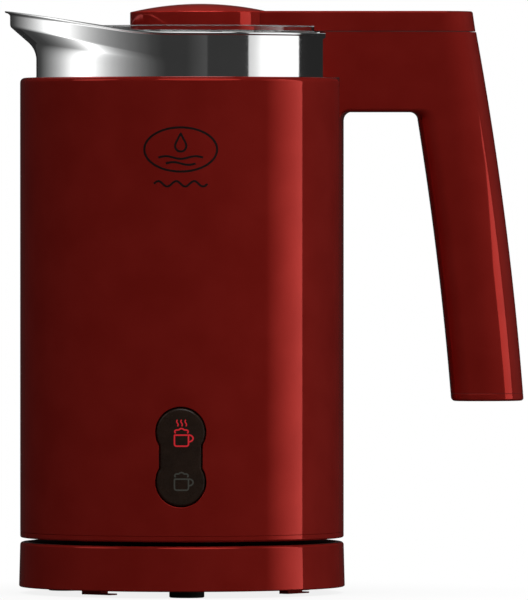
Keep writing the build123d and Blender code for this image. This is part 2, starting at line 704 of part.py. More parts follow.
def handle_shell():
    """The handle's hollow moulding: it wraps the jug's shoulder, reaches out, and drops as the grip."""
    body = grip_solid(0.0, HANDLE_SEAM_Z, HANDLE_UNDER_Z) + neck_block(0.0, HANDLE_TOP_Z)
    inner_x = HANDLE_INNER[0][0]
    body += corner_filler(inner_x + CORNER_LAP, HANDLE_UNDER_Z, -1, HANDLE_HALF_W - HANDLE_INNER_ROUND)
    body += corner_filler(JUG_R, HANDLE_UNDER_Z, 1, HANDLE_HALF_W) & disc(JUG_R + 10, 150, 170)
    body -= disc(JUG_R + RUN, 140, JUG_TOP_Z + RUN)
    body -= disc(POT_R + LIP_OUT + 0.2, 140, 200)
    body -= grip_solid(HANDLE_WALL, HANDLE_LOW_Z - 1, HANDLE_UNDER_Z + HANDLE_WALL + 0.5)
    hollow = neck_block(HANDLE_WALL, HANDLE_TOP_Z - HANDLE_WALL) & block(JUG_R + 3.2, 130, -20, 20, 0, 300)
    body -= hollow
    x_half, y_half = TONGUE_HALF
    body -= block(TONGUE_X - x_half - 0.5, TONGUE_X + x_half + 0.5, -y_half - 0.5, y_half + 0.5, 180, 200)
    for y in (-HANDLE_SCREW_Y, HANDLE_SCREW_Y):
        body -= Pos(JUG_R + 3, y, HANDLE_SCREW_Z) * Rot(0, 90, 0) * Cylinder(1.8, 12)
    return body


def handle_core():
    """The bent steel strap inside the handle, which the handle's screws pull against the jug."""
    strap = side_plate(trace(Polyline(*CORE_ROUTE), CORE_T), 5.0)
    foot_x, foot_z = CORE_ROUTE[0]
    pad = block(foot_x - CORE_T / 2, foot_x + CORE_T / 2, -9.8, 9.8, foot_z - 0.4, foot_z + 5.0)
    strap += pad
    for y in (-HANDLE_SCREW_Y, HANDLE_SCREW_Y):
        strap -= Pos(foot_x, y, HANDLE_SCREW_Z) * Rot(0, 90, 0) * Cylinder(1.4 + RUN, 12)
    return strap


def handle_screws():
    """Two screws from inside the jug's skin into the handle's strap."""
    screws = []
    for y in (-HANDLE_SCREW_Y, HANDLE_SCREW_Y):
        lying = Rot(0, 90, 0) * screw(0, 0, 0, True, 11.0, head_r=2.6, head_h=1.2)
        screws.append(Pos(JUG_R - JUG_WALL - 0.95, y, HANDLE_SCREW_Z) * lying)
    return Compound(children=screws)


def handle_end_cap():
    """The cap that closes the grip below, with a spigot up inside it."""
    cap = grip_solid(0.0, HANDLE_LOW_Z, HANDLE_SEAM_Z - RUN)
    cap = fillet(cap.edges().group_by(Axis.Z)[0], 1.0)
    spigot = grip_solid(HANDLE_WALL + SPIGOT_GAP, HANDLE_SEAM_Z - 1, HANDLE_SEAM_Z + 6)
    core = grip_solid(HANDLE_WALL + 2.0, HANDLE_SEAM_Z, HANDLE_SEAM_Z + 7)
    return cap + (spigot - core)


# ---------------------------------------------------------------- lid


def lid_plate():
    """The clear lid: a shallow dish with a standing rim and a skirt that goes down into the pot's mouth."""
    under = LID_PLATE_Z - LID_PLATE_T
    plate = turned((
        (0.0, under),
        (LID_SKIRT_R - 1.6, under),
        (LID_SKIRT_R - 1.6, LID_SKIRT_Z),
        (LID_SKIRT_R, LID_SKIRT_Z),
        (LID_SKIRT_R, LID_PLATE_Z - 0.6),
        (LID_R, LID_PLATE_Z - 0.2),
        (LID_R, LID_RIM_Z),
        (LID_R - LID_RIM_T, LID_RIM_Z),
        (LID_R - LID_RIM_T, LID_PLATE_Z),
        (0.0, LID_PLATE_Z),
    ))
    rim = [e for e in plate.edges().filter_by(GeomType.CIRCLE) if abs(e.center().Z - LID_RIM_Z) < 0.01]
    plate = fillet(rim, 0.5)
    for x, y in around(LID_SCREW_ANGLES, LID_SCREW_CIRCLE_R):
        plate -= disc(SCREW_CLEAR_R, 180, 200, x + KNOB_X, y)
    return plate - disc(SCREW_CLEAR_R, 180, 200, ARM_SCREW_X, 0)


def lid_seal():
    """The soft ring around the lid's skirt, with two lips."""
    band = ring(LID_SKIRT_R + 1.0, LID_SKIRT_R + RUN, LID_SKIRT_Z + 0.3, LID_PLATE_Z - 1.0)
    for z in (LID_SKIRT_Z + 0.8, LID_SKIRT_Z + 2.6):
        band += ring(POT_R - POT_WALL - SPLIT, LID_SKIRT_R + 0.5, z, z + 0.7)
    return band


def lid_knob():
    """The round domed knob, hollow below, with its screw pillars."""
    height = KNOB_TOP_Z - KNOB_EDGE_Z
    dome_r = (KNOB_R ** 2 + height ** 2) / (2 * height)
    knob = disc(KNOB_R, LID_PLATE_Z, KNOB_TOP_Z + 1, KNOB_X)
    knob = knob & (Pos(KNOB_X, 0, KNOB_TOP_Z - dome_r) * Sphere(dome_r))
    circles = [e for e in knob.edges().filter_by(GeomType.CIRCLE) if abs(e.radius - KNOB_R) < 0.01]
    knob = fillet(ShapeList(circles).group_by(Axis.Z)[-1], 0.5)
    hollow = disc(KNOB_R - 2.2, LID_PLATE_Z - 1, KNOB_EDGE_Z - 1.6, KNOB_X)
    for x, y in around(LID_SCREW_ANGLES, LID_SCREW_CIRCLE_R):
        hollow -= ring(3.2, 1.25 + RUN, LID_PLATE_Z - 2, KNOB_TOP_Z, x + KNOB_X, y)
    return knob - hollow


def arm_outline(inset, low, high):
    """The arm in plan with its round rear end, drafted in a little towards the top."""
    half = HANDLE_HALF_W - inset
    sections = []
    for z, end_x in ((ARM_LOW_Z, ARM_END_X), (ARM_TOP_Z, ARM_END_TOP_X)):
        end = end_x - inset
        turn_x = end_x - HANDLE_OUTER_ROUND
        arc = EllipticalCenterArc((turn_x, 0), end - turn_x, half, start_angle=-90, arc_size=180)
        rest = Polyline((turn_x, half), (KNOB_X, half), (KNOB_X, -half), (turn_x, -half))
        sections.append(Plane.XY.offset(z) * make_face([arc, rest]))
    body = loft(sections, ruled=True)
    return body & block(-20, 130, -20, 20, low, high)


def lid_arm():
    """The arm from the knob back over the handle, with the tongue that drops into the handle's slot."""
    arm = arm_outline(0.0, ARM_LOW_Z, ARM_TOP_Z)
    top_edges = [e for e in arm.edges().group_by(Axis.Z)[-1] if e.center().X > KNOB_X + 1]
    arm = fillet(top_edges, 0.6)
    within_rim = LID_R - LID_RIM_T - 0.15
    foot = block(KNOB_X, within_rim, -HANDLE_HALF_W, HANDLE_HALF_W, LID_PLATE_Z, ARM_LOW_Z + 1)
    arm += foot & disc(within_rim, 180, 200)
    hollow = arm_outline(2.2, LID_PLATE_Z - 1, ARM_TOP_Z - 2.2) & block(LID_R + 3, 130, -20, 20, 0, 300)
    arm -= hollow
    arm -= ring(LID_R + 0.15, within_rim, 180, LID_RIM_Z + 0.1)
    arm -= disc(KNOB_R + 0.15, 180, 210, KNOB_X)
    arm -= disc(1.25 + RUN, 180, ARM_TOP_Z - 1.6, ARM_SCREW_X, 0)
    x_half, y_half = TONGUE_HALF
    low, high = TONGUE_X - x_half, TONGUE_X + x_half
    tongue = block(low, high, -y_half, y_half, HANDLE_TOP_Z - 5.0, ARM_TOP_Z - 1.0)
    return arm + fillet(tongue.edges().group_by(Axis.Z)[0], 0.8)


def lid_screws():
    """Four screws from under the lid into the knob and the arm."""
    under = LID_PLATE_Z - LID_PLATE_T
    places = [(x + KNOB_X, y) for x, y in around(LID_SCREW_ANGLES, LID_SCREW_CIRCLE_R)]
    screws = [screw(x, y, under, True, 5.6, shaft_r=1.25, head_r=2.4, head_h=1.2) for x, y in places]
    screws.append(screw(ARM_SCREW_X, 0, under, True, 6.4, shaft_r=1.25, head_r=2.4, head_h=1.2))
    return Compound(children=screws)


PIECES = (
    base_housing, base_deck_plate, base_bottom_plate, base_feet, base_screws, base_connector, base_contacts,
    cord_gland, connector_shutter,
    outer_shell, bottom_cover, bottom_screws, jug_connector, jug_contacts, control_board, board_screws,
    board_components, rocker_button, rocker_pin, button_frame, button_board, button_switches, indicator_leds,
    steel_pot, pot_seal, spindle_pin, heater_ring, thermostat, motor_bracket, motor_can, motor_shaft,
    magnet_carrier, drive_magnets, whisk_hub, whisk_magnets, whisk_coil,
    handle_shell, handle_core, handle_screws, handle_end_cap,
    lid_plate, lid_seal, lid_knob, lid_arm, lid_screws,
)

os.makedirs("parts", exist_ok=True)
for make in PIECES:
    export_step(make(), "parts/" + make.__name__ + ".step")
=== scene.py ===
import json
import math

import bmesh
import bpy
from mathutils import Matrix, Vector

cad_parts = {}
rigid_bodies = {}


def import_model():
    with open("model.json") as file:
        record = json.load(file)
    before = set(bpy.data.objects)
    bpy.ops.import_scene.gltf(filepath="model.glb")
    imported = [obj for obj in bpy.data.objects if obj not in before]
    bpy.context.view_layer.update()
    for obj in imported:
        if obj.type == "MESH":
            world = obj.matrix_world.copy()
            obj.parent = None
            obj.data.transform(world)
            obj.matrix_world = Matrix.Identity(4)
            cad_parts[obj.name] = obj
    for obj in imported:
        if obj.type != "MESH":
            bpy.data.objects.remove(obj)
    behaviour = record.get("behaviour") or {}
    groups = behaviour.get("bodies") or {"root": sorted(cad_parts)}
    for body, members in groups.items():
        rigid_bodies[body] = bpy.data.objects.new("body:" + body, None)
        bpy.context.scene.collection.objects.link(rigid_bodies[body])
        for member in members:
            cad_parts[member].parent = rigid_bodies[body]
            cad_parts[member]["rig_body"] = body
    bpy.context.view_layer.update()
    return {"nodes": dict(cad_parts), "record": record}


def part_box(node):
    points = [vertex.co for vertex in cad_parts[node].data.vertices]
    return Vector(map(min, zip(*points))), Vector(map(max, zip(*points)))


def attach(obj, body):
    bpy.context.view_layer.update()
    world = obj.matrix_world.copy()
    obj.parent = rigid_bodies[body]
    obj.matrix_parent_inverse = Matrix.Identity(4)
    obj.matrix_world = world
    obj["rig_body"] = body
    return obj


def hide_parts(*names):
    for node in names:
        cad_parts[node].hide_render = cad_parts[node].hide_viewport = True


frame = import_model()

# The meshes are worked out in millimetres, in the CAD's own frame: +Z up, +X to the handle, -X to the spout
# and -Y to the front, with the origin on the jug's axis at the table. MM turns them into metres.
MM = 0.001
AROUND = 256                  # steps round a turned piece
WELD = 0.0005                 # points closer than this become one
SMOOTH_BELOW = math.radians(40)


def node_box(node):
    """A CAD node's lowest and highest corners at rest, in millimetres."""
    low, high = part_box(node)
    return low / MM, high / MM


# ---------------- mesh building


def between(ends, share):
    """The number a share of the way from the first of two ends to the second."""
    return ends[0] + (ends[1] - ends[0]) * share


def quarter(steps, first=0):
    """A quarter turn in even steps, as pairs: 1 - cos goes from 0 to 1, and 1 - sin from 1 to 0."""
    angles = [math.pi / 2 * k / steps for k in range(first, steps + 1)]
    return [(1 - math.cos(a), 1 - math.sin(a)) for a in angles]


def rounded(corners, closed=False, steps=6):
    """The outline through corners of (a, b, radius), with each corner turned into an arc of its radius."""
    points = []
    last = len(corners) - 1
    for i, (a, b, radius) in enumerate(corners):
        here = Vector((a, b))
        at_end = not closed and i in (0, last)
        if radius <= 0 or at_end:
            points.append(here)
            continue
        before = (Vector(corners[i - 1][:2]) - here).normalized()
        after = (Vector(corners[(i + 1) % len(corners)][:2]) - here).normalized()
        half = before.angle(after) / 2
        reach = radius / math.tan(half)
        centre = here + (before + after).normalized() * (radius / math.sin(half))
        start = here + before * reach - centre
        end = here + after * reach - centre
        sweep = start.angle_signed(end)
        for k in range(steps + 1):
            turn = -sweep * k / steps
            c, s = math.cos(turn), math.sin(turn)
            points.append(centre + Vector((start.x * c - start.y * s, start.x * s + start.y * c)))
    return [(p.x, p.y) for p in points]


def turned(outline, x=0.0):
    """The rows of a turned surface: one ring of points for each (radius, height) of the outline."""
    angles = [2 * math.pi * k / AROUND for k in range(AROUND)]
    return [[(x + r * math.cos(a), r * math.sin(a), z) for a in angles] for r, z in outline]


def grid_faces(bm, rows, wrap=True, loop=False):
    """Quads between rows of points. wrap joins each row's ends, and loop joins the last row to the first."""
    made = [[bm.verts.new(p) for p in row] for row in rows]
    pairs = list(zip(made, made[1:]))
    if loop:
        pairs.append((made[-1], made[0]))
    count = len(rows[0])
    for lower, upper in pairs:
        for k in range(count if wrap else count - 1):
            n = (k + 1) % count
            bm.faces.new((lower[k], lower[n], upper[n], upper[k]))
    return made


def close_ends(bm, made):
    """A face over the first row of points and one over the last."""
    bm.faces.new(made[0])
    bm.faces.new(made[-1])


def add_object(name, data):
    """A new object in the scene."""
    made = bpy.data.objects.new(name, data)
    bpy.context.scene.collection.objects.link(made)
    return made


def plain_object(name, bm):
    """An object with the bmesh, which is in millimetres, as its mesh in metres. Its faces point outwards."""
    bmesh.ops.recalc_face_normals(bm, faces=bm.faces)
    bmesh.ops.scale(bm, verts=bm.verts, vec=(MM, MM, MM))
    mesh = bpy.data.meshes.new(name)
    bm.to_mesh(mesh)
    bm.free()
    return add_object(name, mesh)


def prism_cutter(outline, y_near, y_far):
    """A shape to cut or add: an outline in (x, z), between two distances along Y."""
    bm = bmesh.new()
    close_ends(bm, grid_faces(bm, [[(x, y, z) for x, z in outline] for y in (y_near, y_far)]))
    return plain_object("cutter", bm)


def box_cutter(low, high):
    """A box between two corners, to cut or add."""
    (x0, y0, z0), (x1, y1, z1) = low, high
    return prism_cutter([(x0, z0), (x1, z0), (x1, z1), (x0, z1)], y0, y1)


def tube_cutter(inner, outer, low, high):
    """A tube about the jug's axis, to cut."""
    bm = bmesh.new()
    grid_faces(bm, turned([(inner, low), (outer, low), (outer, high), (inner, high)]), loop=True)
    return plain_object("cutter", bm)


def combine(piece, cutters, added):
    """Cuts each cutter out of a piece and joins each added shape to it for good, and removes those shapes."""
    for shape, operation in [(c, "DIFFERENCE") for c in cutters] + [(a, "UNION") for a in added]:
        change = piece.modifiers.new("change", "BOOLEAN")
        change.operation = operation
        change.solver = "EXACT"
        change.object = shape
    graph = bpy.context.evaluated_depsgraph_get()
    mesh = bpy.data.meshes.new_from_object(piece.evaluated_get(graph))
    piece.modifiers.clear()
    piece.data = mesh
    for shape in (*cutters, *added):
        bpy.data.objects.remove(shape)


def finish_mesh(name, bm, body, slot, material=None, replaces=(), cutters=(), added=(), bevel=0.0):
    """Turns a bmesh in millimetres into a piece that rides on a body and replaces CAD nodes. It wears its
    slot's material unless another is given."""
    bmesh.ops.remove_doubles(bm, verts=bm.verts, dist=WELD)
    bmesh.ops.dissolve_degenerate(bm, edges=bm.edges, dist=WELD / 5)
    piece = plain_object(name, bm)
    if cutters or added:
        combine(piece, cutters, added)
    piece.data.materials.clear()
    piece.data.materials.append(material or LOOKS[slot])
    piece.data.polygons.foreach_set("use_smooth", [True] * len(piece.data.polygons))
    piece.data.set_sharp_from_angle(angle=SMOOTH_BELOW)
    if bevel:
        edge = piece.modifiers.new("edge", "BEVEL")
        edge.width = bevel * MM
        edge.segments = 2
        edge.limit_method = "ANGLE"
        edge.angle_limit = SMOOTH_BELOW
    normals = piece.modifiers.new("normals", "WEIGHTED_NORMAL")
    normals.keep_sharp = True
    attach(piece, body)
    if replaces:
        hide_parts(*replaces)
    return piece


def turned_piece(name, corners, closed=True, steps=6, **how):
    """A piece turned about an upright axis from one outline of (radius, height, corner radius)."""
    bm = bmesh.new()
    grid_faces(bm, turned(rounded(corners, closed, steps)), loop=closed)
    return finish_mesh(name, bm, **how)


# ---------------- materials


def add_node(tree, kind, inputs, operation=None):
    """A new shader node. Each of its inputs gets a value or is linked to another node's output."""
    node = tree.nodes.new("ShaderNode" + kind)
    if operation:
        node.operation = operation
    for name, value in inputs.items():
        if isinstance(value, bpy.types.NodeSocket):
            tree.links.new(value, node.inputs[name])
        else:
            node.inputs[name].default_value = value
    return node


class Look:
    """A node material under construction: a Principled shader with procedural detail in object space."""

    def __init__(self, name, settings):
        self.material = bpy.data.materials.new(name)
        self.material.use_nodes = True
        self.tree = self.material.node_tree
        self.shader = next(n for n in self.tree.nodes if n.type == "BSDF_PRINCIPLED")
        for socket, value in settings.items():
            self.shader.inputs[socket].default_value = value
        self.place = add_node(self.tree, "TexCoord", {}).outputs["Object"]

    def noise(self, size_mm, detail=3.0, stretch=(1.0, 1.0, 1.0)):
        """Noise with features of about size_mm, longer along an axis whose stretch is below 1."""
        scale = [s / (size_mm * MM) for s in stretch]
        mapping = add_node(self.tree, "Mapping", {"Scale": scale, "Vector": self.place})
        sockets = {"Scale": 1.0, "Detail": detail, "Vector": mapping.outputs["Vector"]}
        return add_node(self.tree, "TexNoise", sockets).outputs["Fac"]

    def cells(self, size_mm):
        """The distance to the nearest cell centre of a scatter of points about size_mm apart."""
        sockets = {"Scale": 1 / (size_mm * MM), "Vector": self.place}
        return add_node(self.tree, "TexVoronoi", sockets).outputs["Distance"]

    def pattern(self, first, *rest):
        """The cells or the noise that a pattern of LOOK_TABLE asks for."""
        return self.cells(*rest) if first == "cells" else self.noise(first, *rest)

    def colours(self, value, first, second, low=0.35, high=0.65):
        """Base colour that goes from first to second as the value goes from low to high."""
        node = add_node(self.tree, "ValToRGB", {"Fac": value})
        for stop, position, colour in zip(node.color_ramp.elements, (low, high), (first, second)):
            stop.position = position
            stop.color = (*colour, 1.0)
        self.tree.links.new(node.outputs["Color"], self.shader.inputs["Base Color"])

    def roughness(self, value, low, high):
        """Roughness between low and high, following the value."""
        sockets = {"Value": value, "From Min": 0.3, "From Max": 0.7, "To Min": low, "To Max": high}
        node = add_node(self.tree, "MapRange", sockets)
        self.tree.links.new(node.outputs["Result"], self.shader.inputs["Roughness"])

    def bump(self, value, height_mm):
        """Relief of height_mm that follows the value."""
        node = add_node(self.tree, "Bump", {"Height": value, "Strength": 1.0, "Distance": height_mm * MM})
        self.tree.links.new(node.outputs["Normal"], self.shader.inputs["Normal"])


# Each look: what is set on the shader; the pattern its colour follows, its two colours and, where they aren't
# the usual ones, the pattern's values for them; the pattern its roughness follows, and its lowest and highest
# roughness; the pattern its relief follows, and the relief's height in mm. A pattern is what noise or cells
# takes.
LOOK_TABLE = {
    # Glossy red lacquer with a metallic ground: faint mottling, orange peel and a trace of fine wear.
    "red_lacquer": (
        {"Metallic": 0.3, "Specular IOR Level": 0.25, "Specular Tint": (1.0, 0.35, 0.30, 1.0)},
        ((14.0,), (0.42, 0.021, 0.015), (0.47, 0.026, 0.019)),
        ((5.0, 5.0), 0.035, 0.06), ((2.2, 2.0), 0.0012)),
    # Polished steel with faint lines round the pot and a few hazy patches.
    "polished_steel": (
        {"Metallic": 1.0}, ((20.0,), (0.66, 0.665, 0.665), (0.72, 0.722, 0.72)),
        ((0.5, 4.0, (0.02, 0.02, 1.0)), 0.05, 0.09), ((0.25, 3.0, (0.01, 0.01, 1.0)), 0.0012)),
    # Zinc-plated steel: a satin grey with a fine grain.
    "plated_steel": (
        {"Metallic": 1.0}, ((3.0, 5.0), (0.50, 0.50, 0.50), (0.66, 0.66, 0.65)),
        ((0.8, 5.0), 0.22, 0.38), ((0.2,), 0.004)),
    "brass": (
        {"Metallic": 1.0}, ((2.5, 5.0), (0.60, 0.38, 0.13), (0.80, 0.58, 0.26)),
        ((0.7, 5.0), 0.16, 0.34), ((0.2,), 0.003)),
    # Black moulded plastic with a fine spark-eroded grain.
    "black_plastic": (
        {"Specular IOR Level": 0.4}, ((6.0, 5.0), (0.010, 0.011, 0.010), (0.017, 0.018, 0.016)),
        ((1.2, 4.0), 0.34, 0.46), (("cells", 0.35), 0.012)),
    # The rocker's smooth satin black.
    "button_black": (
        {"Specular IOR Level": 0.35}, ((4.0, 4.0), (0.0330, 0.0185, 0.0120), (0.0430, 0.0240, 0.0155)),
        ((1.5, 4.0), 0.22, 0.32), ((0.4, 4.0), 0.003)),
    "grey_plastic": (
        {"Specular IOR Level": 0.4}, ((5.0, 5.0), (0.12, 0.125, 0.12), (0.16, 0.165, 0.16)),
        ((1.2, 4.0), 0.32, 0.46), (("cells", 0.4), 0.01)),
    # Black foot rubber, matt and slightly dusty.
    "rubber": (
        {"Specular IOR Level": 0.3}, ((1.5, 6.0), (0.010, 0.009, 0.008), (0.026, 0.023, 0.020)),
        ((0.8, 5.0), 0.55, 0.8), ((0.3, 5.0), 0.02)),
    "silicone": (
        {"Specular IOR Level": 0.4, "Subsurface Weight": 0.3, "Subsurface Radius": (0.002, 0.002, 0.002)},
        ((3.0, 4.0), (0.50, 0.50, 0.48), (0.62, 0.62, 0.60)), ((1.0, 4.0), 0.35, 0.5), ((0.4,), 0.006)),
    # Clear lid plastic with the lightest haze.
    "clear_plastic": (
        {"IOR": 1.49, "Transmission Weight": 1.0}, ((20.0,), (0.93, 0.94, 0.94), (0.97, 0.98, 0.98)),
        ((6.0, 5.0), 0.01, 0.04), ((4.0, 2.0), 0.002)),
    # Green solder mask with paler tracks below it.
    "circuit_board": (
        {"Specular IOR Level": 0.5},
        ((1.6, 0.0, (1.0, 0.2, 1.0)), (0.010, 0.075, 0.025), (0.025, 0.14, 0.05), 0.48, 0.52),
        ((0.8,), 0.25, 0.4), ((1.6, 0.0, (1.0, 0.2, 1.0)), 0.02)),
    "magnet": (
        {"Metallic": 1.0}, ((2.0, 4.0), (0.50, 0.49, 0.46), (0.60, 0.59, 0.56)),
        ((0.6, 4.0), 0.14, 0.26), ((0.3,), 0.002)),
    # The clear red body of a lamp behind the button, evenly smooth.
    "lamp": (
        {"Transmission Weight": 0.4, "Roughness": 0.2}, ((0.6,), (0.60, 0.05, 0.04), (0.80, 0.10, 0.08)),
        None, ((0.3,), 0.003)),
}


def make_look(name, settings, colour, rough, relief):
    """The material of one row of LOOK_TABLE."""
    look = Look(name, settings)
    look.colours(look.pattern(*colour[0]), *colour[1:])
    if rough:
        look.roughness(look.pattern(*rough[0]), *rough[1:])
    look.bump(look.pattern(*relief[0]), relief[1])
    return look.material


def symbol_ink(name, colour, glow):
    """Ink of the button's symbols and of the printed emblem; a lit symbol glows a little, and the unlit grey
    ink gets a faint painted glow.
    """
    settings = {"Specular IOR Level": 0.3, "Emission Color": (*colour, 1.0), "Emission Strength": glow}
    darker = tuple(0.8 * c for c in colour)
    return make_look(name, settings, ((0.5, 4.0), darker, colour), ((0.4, 4.0), 0.35, 0.5), ((0.2,), 0.002))


LOOKS = {name: make_look(name, *row) for name, row in LOOK_TABLE.items()}
LIT_RED = symbol_ink("lit_red", (0.40, 0.014, 0.020), 0.9)
# The unlit grey ink glows faintly too: a painted glow, with no lamp behind it.
GREY_PRINT_WITH_PAINTED_GLOW = symbol_ink("grey_print_painted_glow", (0.045, 0.045, 0.038), 0.5)
DARK_PRINT = symbol_ink("dark_print", (0.012, 0.006, 0.006), 0.0)

# Every CAD node wears the material of its slot in the record.
for part in frame["record"]["subparts"]:
    cad_mesh = frame["nodes"][part["node"]].data
    cad_mesh.materials.clear()
    cad_mesh.materials.append(LOOKS[part["material_slot"]])


# ---------------- base

BASE_LOW, BASE_HIGH = node_box("base_housing")
BASE_DRAFT = 0.4              # the skirt leans in by this much towards the top
BASE_WALL = 2.4
DECK_R = 52.4
DECK_Z = 16.2
BASE_HOLE_R = 15.9
BASE_CEILING_Z = 14.2
NOTCH_HALF = 4.25             # half the width and height of the square notch for the cord's bush
NOTCH_REACH = 8.0             # how far it reaches in and out from the skirt's outside


def base_shell():
    """The base's skirt and deck, turned, with a square notch at the back that the cord's bush sits in."""
    gland_low, gland_high = node_box("cord_gland")
    middle_z = (gland_low.z + gland_high.z) / 2
    notch = box_cutter((-NOTCH_HALF, BASE_HIGH.x - NOTCH_REACH, middle_z - NOTCH_HALF),
                       (NOTCH_HALF, BASE_HIGH.x + NOTCH_REACH, middle_z + NOTCH_HALF))
    top_r = BASE_HIGH.x - BASE_DRAFT
    return turned_piece("base_shell", [
        (BASE_HIGH.x - BASE_WALL, BASE_LOW.z, 0.3),
        (BASE_HIGH.x, BASE_LOW.z, 0.5),
        (top_r, BASE_HIGH.z, 1.0),
        (DECK_R, BASE_HIGH.z, 0.15),
        (DECK_R, DECK_Z, 0.0),
        (BASE_HOLE_R, DECK_Z, 0.0),
        (BASE_HOLE_R, BASE_CEILING_Z, 0.0),
        (top_r - BASE_WALL, BASE_CEILING_Z, 0.0),
    ], cutters=[notch], body="base", slot="red_lacquer", replaces=["base_housing"])


# ---------------- jug body

SKIN_LOW, SKIN_HIGH = node_box("outer_shell")
SKIN_WALL = 2.2
SKIN_CORNER_R = 1.7
SKIN_MOUTH_GAP = 0.25         # between the skin's mouth and the pot
POT_R = 49.5
ROCKER_LOW, ROCKER_HIGH = node_box("rocker_button")
ROCKER_R = ROCKER_HIGH.x
ROCKER_Z = (ROCKER_LOW.z + ROCKER_HIGH.z) / 2
ROCKER_SPREAD = (ROCKER_HIGH.z - ROCKER_LOW.z) / 2 - ROCKER_R     # from the pivot to each end's centre
ROCKER_WAIST = 7.0
ROCKER_NOTCH_R = 1.6
ROCKER_GAP = 0.35
ROCKER_EDGE_R = 0.9
ROCKER_BACK_Y = -52.0
WINDOW_BACK_Y = -45.0


def rocker_outline(inset, steps=20):
    """The rocker's outline in (x, z) about its pivot: round ends, a straight waist and rounded notches."""
    across = ROCKER_WAIST + ROCKER_NOTCH_R
    drop = math.sqrt((ROCKER_R + ROCKER_NOTCH_R) ** 2 - across ** 2)
    notch_z = ROCKER_SPREAD - drop
    lean = math.atan2(drop, across)
    round_r, notch_r = ROCKER_R - inset, ROCKER_NOTCH_R + inset
    quarter = []
    for k in range(steps + 1):
        a = math.pi / 2 - (math.pi / 2 + lean) * k / steps
        quarter.append((round_r * math.cos(a), ROCKER_SPREAD + round_r * math.sin(a)))
    for k in range(1, 7):
        a = math.pi - lean * (1 - k / 6)
        quarter.append((across + notch_r * math.cos(a), notch_z + notch_r * math.sin(a)))
    for k in range(1, 4):
        quarter.append((ROCKER_WAIST - inset, notch_z * (1 - k / 3)))
    right = quarter + [(x, -z) for x, z in reversed(quarter[:-1])]
    return right + [(-x, z) for x, z in reversed(right[1:-1])]


def jug_skin():
    """The jug's lacquered skin: one turned wall with a rolled shoulder, and the window for the rocker."""
    outer, mouth_r, inside_z = SKIN_HIGH.x, POT_R + SKIN_MOUTH_GAP, SKIN_HIGH.z - SKIN_WALL
    outline = [(x, ROCKER_Z + z) for x, z in rocker_outline(-ROCKER_GAP)]
    window = prism_cutter(outline, -outer - 5, WINDOW_BACK_Y)
    return turned_piece("jug_skin", [
        (outer - SKIN_WALL, SKIN_LOW.z, 0.0),
        (outer, SKIN_LOW.z, 0.25),
        (outer, SKIN_HIGH.z, SKIN_CORNER_R),
        (mouth_r, SKIN_HIGH.z, 0.3),
        (mouth_r, inside_z, 0.0),
        (outer - SKIN_WALL, inside_z, 0.0),
    ], steps=8, cutters=[window], bevel=0.2, body="jug", slot="red_lacquer", replaces=["outer_shell"])


def on_front(x, z, radius):
    """The point at (x, z) on the front side of an upright cylinder about the jug's axis."""
    return (x, -math.sqrt(radius * radius - x * x), z)


def rocker_cap():
    """The rocker: a face that follows the jug's curve, a rounded edge all round and a thick rim behind it."""
    face_r = -ROCKER_LOW.y
    inner = rocker_outline(ROCKER_EDGE_R)
    rows = []
    for share in (0.02, 0.2, 0.4, 0.6, 0.8, 0.92, 1.0):
        rows.append([on_front(x * share, ROCKER_Z + z * share, face_r) for x, z in inner])
    for back, inset in quarter(6, first=1):
        rim = rocker_outline(ROCKER_EDGE_R * inset)
        rows.append([on_front(x, ROCKER_Z + z, face_r - ROCKER_EDGE_R * back) for x, z in rim])
    rows.append([(x, ROCKER_BACK_Y, ROCKER_Z + z) for x, z in rocker_outline(0.0)])
    bm = bmesh.new()
    close_ends(bm, grid_faces(bm, rows))
    return finish_mesh("rocker_cap", bm, body="rocker", slot="black_plastic", material=LOOKS["button_black"],
                       replaces=["rocker_button"])


# ---------------- steel pot

POT_LOW, POT_HIGH = node_box("steel_pot")
POT_WALL = 0.8
POT_FLOOR_T = 1.2
RIM_Z = 190.0
RIM_SLOPE = math.radians(9.1)
RIM_KNEE_X = -12.0
RIM_BLEND_R = 125.0
BAND_REACH = 58.4
LIP_REACH = -POT_LOW.x
LIP_SIDE = POT_HIGH.y
LIP_EDGE_R = 0.3              # how far its rounded edge goes back
LIP_HALF_T = (0.45, 0.3)      # half its edge's thickness, at the sides and at the spout's tip
LIP_COVE_H = (0.25, 1.0)      # the height of the hollow below it, in the same way
POT_CORNER_R = 5.0
CREASE = (179.9, 192.4)       # its height over the axis and at the spout's tip
FLARE = (178.0, 181.0)        # where the flare starts, in the same way
FLARE_R = 8.0
FLARE_TURN = math.radians(48.8)
CREASE_R = 1.6
SPOUT_FADE = 0.09             # the spout's flare and band have faded out where c is this small


def rim_height(x):
    """The height of the pot's rim: level at the back, then bending up to a straight slope at the spout."""
    run = RIM_BLEND_R * math.tan(RIM_SLOPE / 2)
    start = RIM_KNEE_X + run
    if x >= start:
        return RIM_Z
    end = start - RIM_BLEND_R * math.sin(RIM_SLOPE)
    if x >= end:
        return RIM_Z + RIM_BLEND_R - math.sqrt(RIM_BLEND_R ** 2 - (start - x) ** 2)
    return RIM_Z + (RIM_KNEE_X - x) * math.tan(RIM_SLOPE)


def pot_row(reach, side, height):
    """A ring of points: half a circle at the back, pulled out to reach on the spout's side. Its height is
    height(x, c), where c is 1 at the spout's tip and 0 from the sides back."""
    row = []
    for k in range(AROUND):
        a = 2 * math.pi * k / AROUND
        c = max(math.cos(a), 0.0)
        x = -side * math.cos(a) - (reach - side) * max(0.0, (c - SPOUT_FADE) / (1 - SPOUT_FADE))
        row.append((x, side * math.sin(a), height(x, c)))
    return row


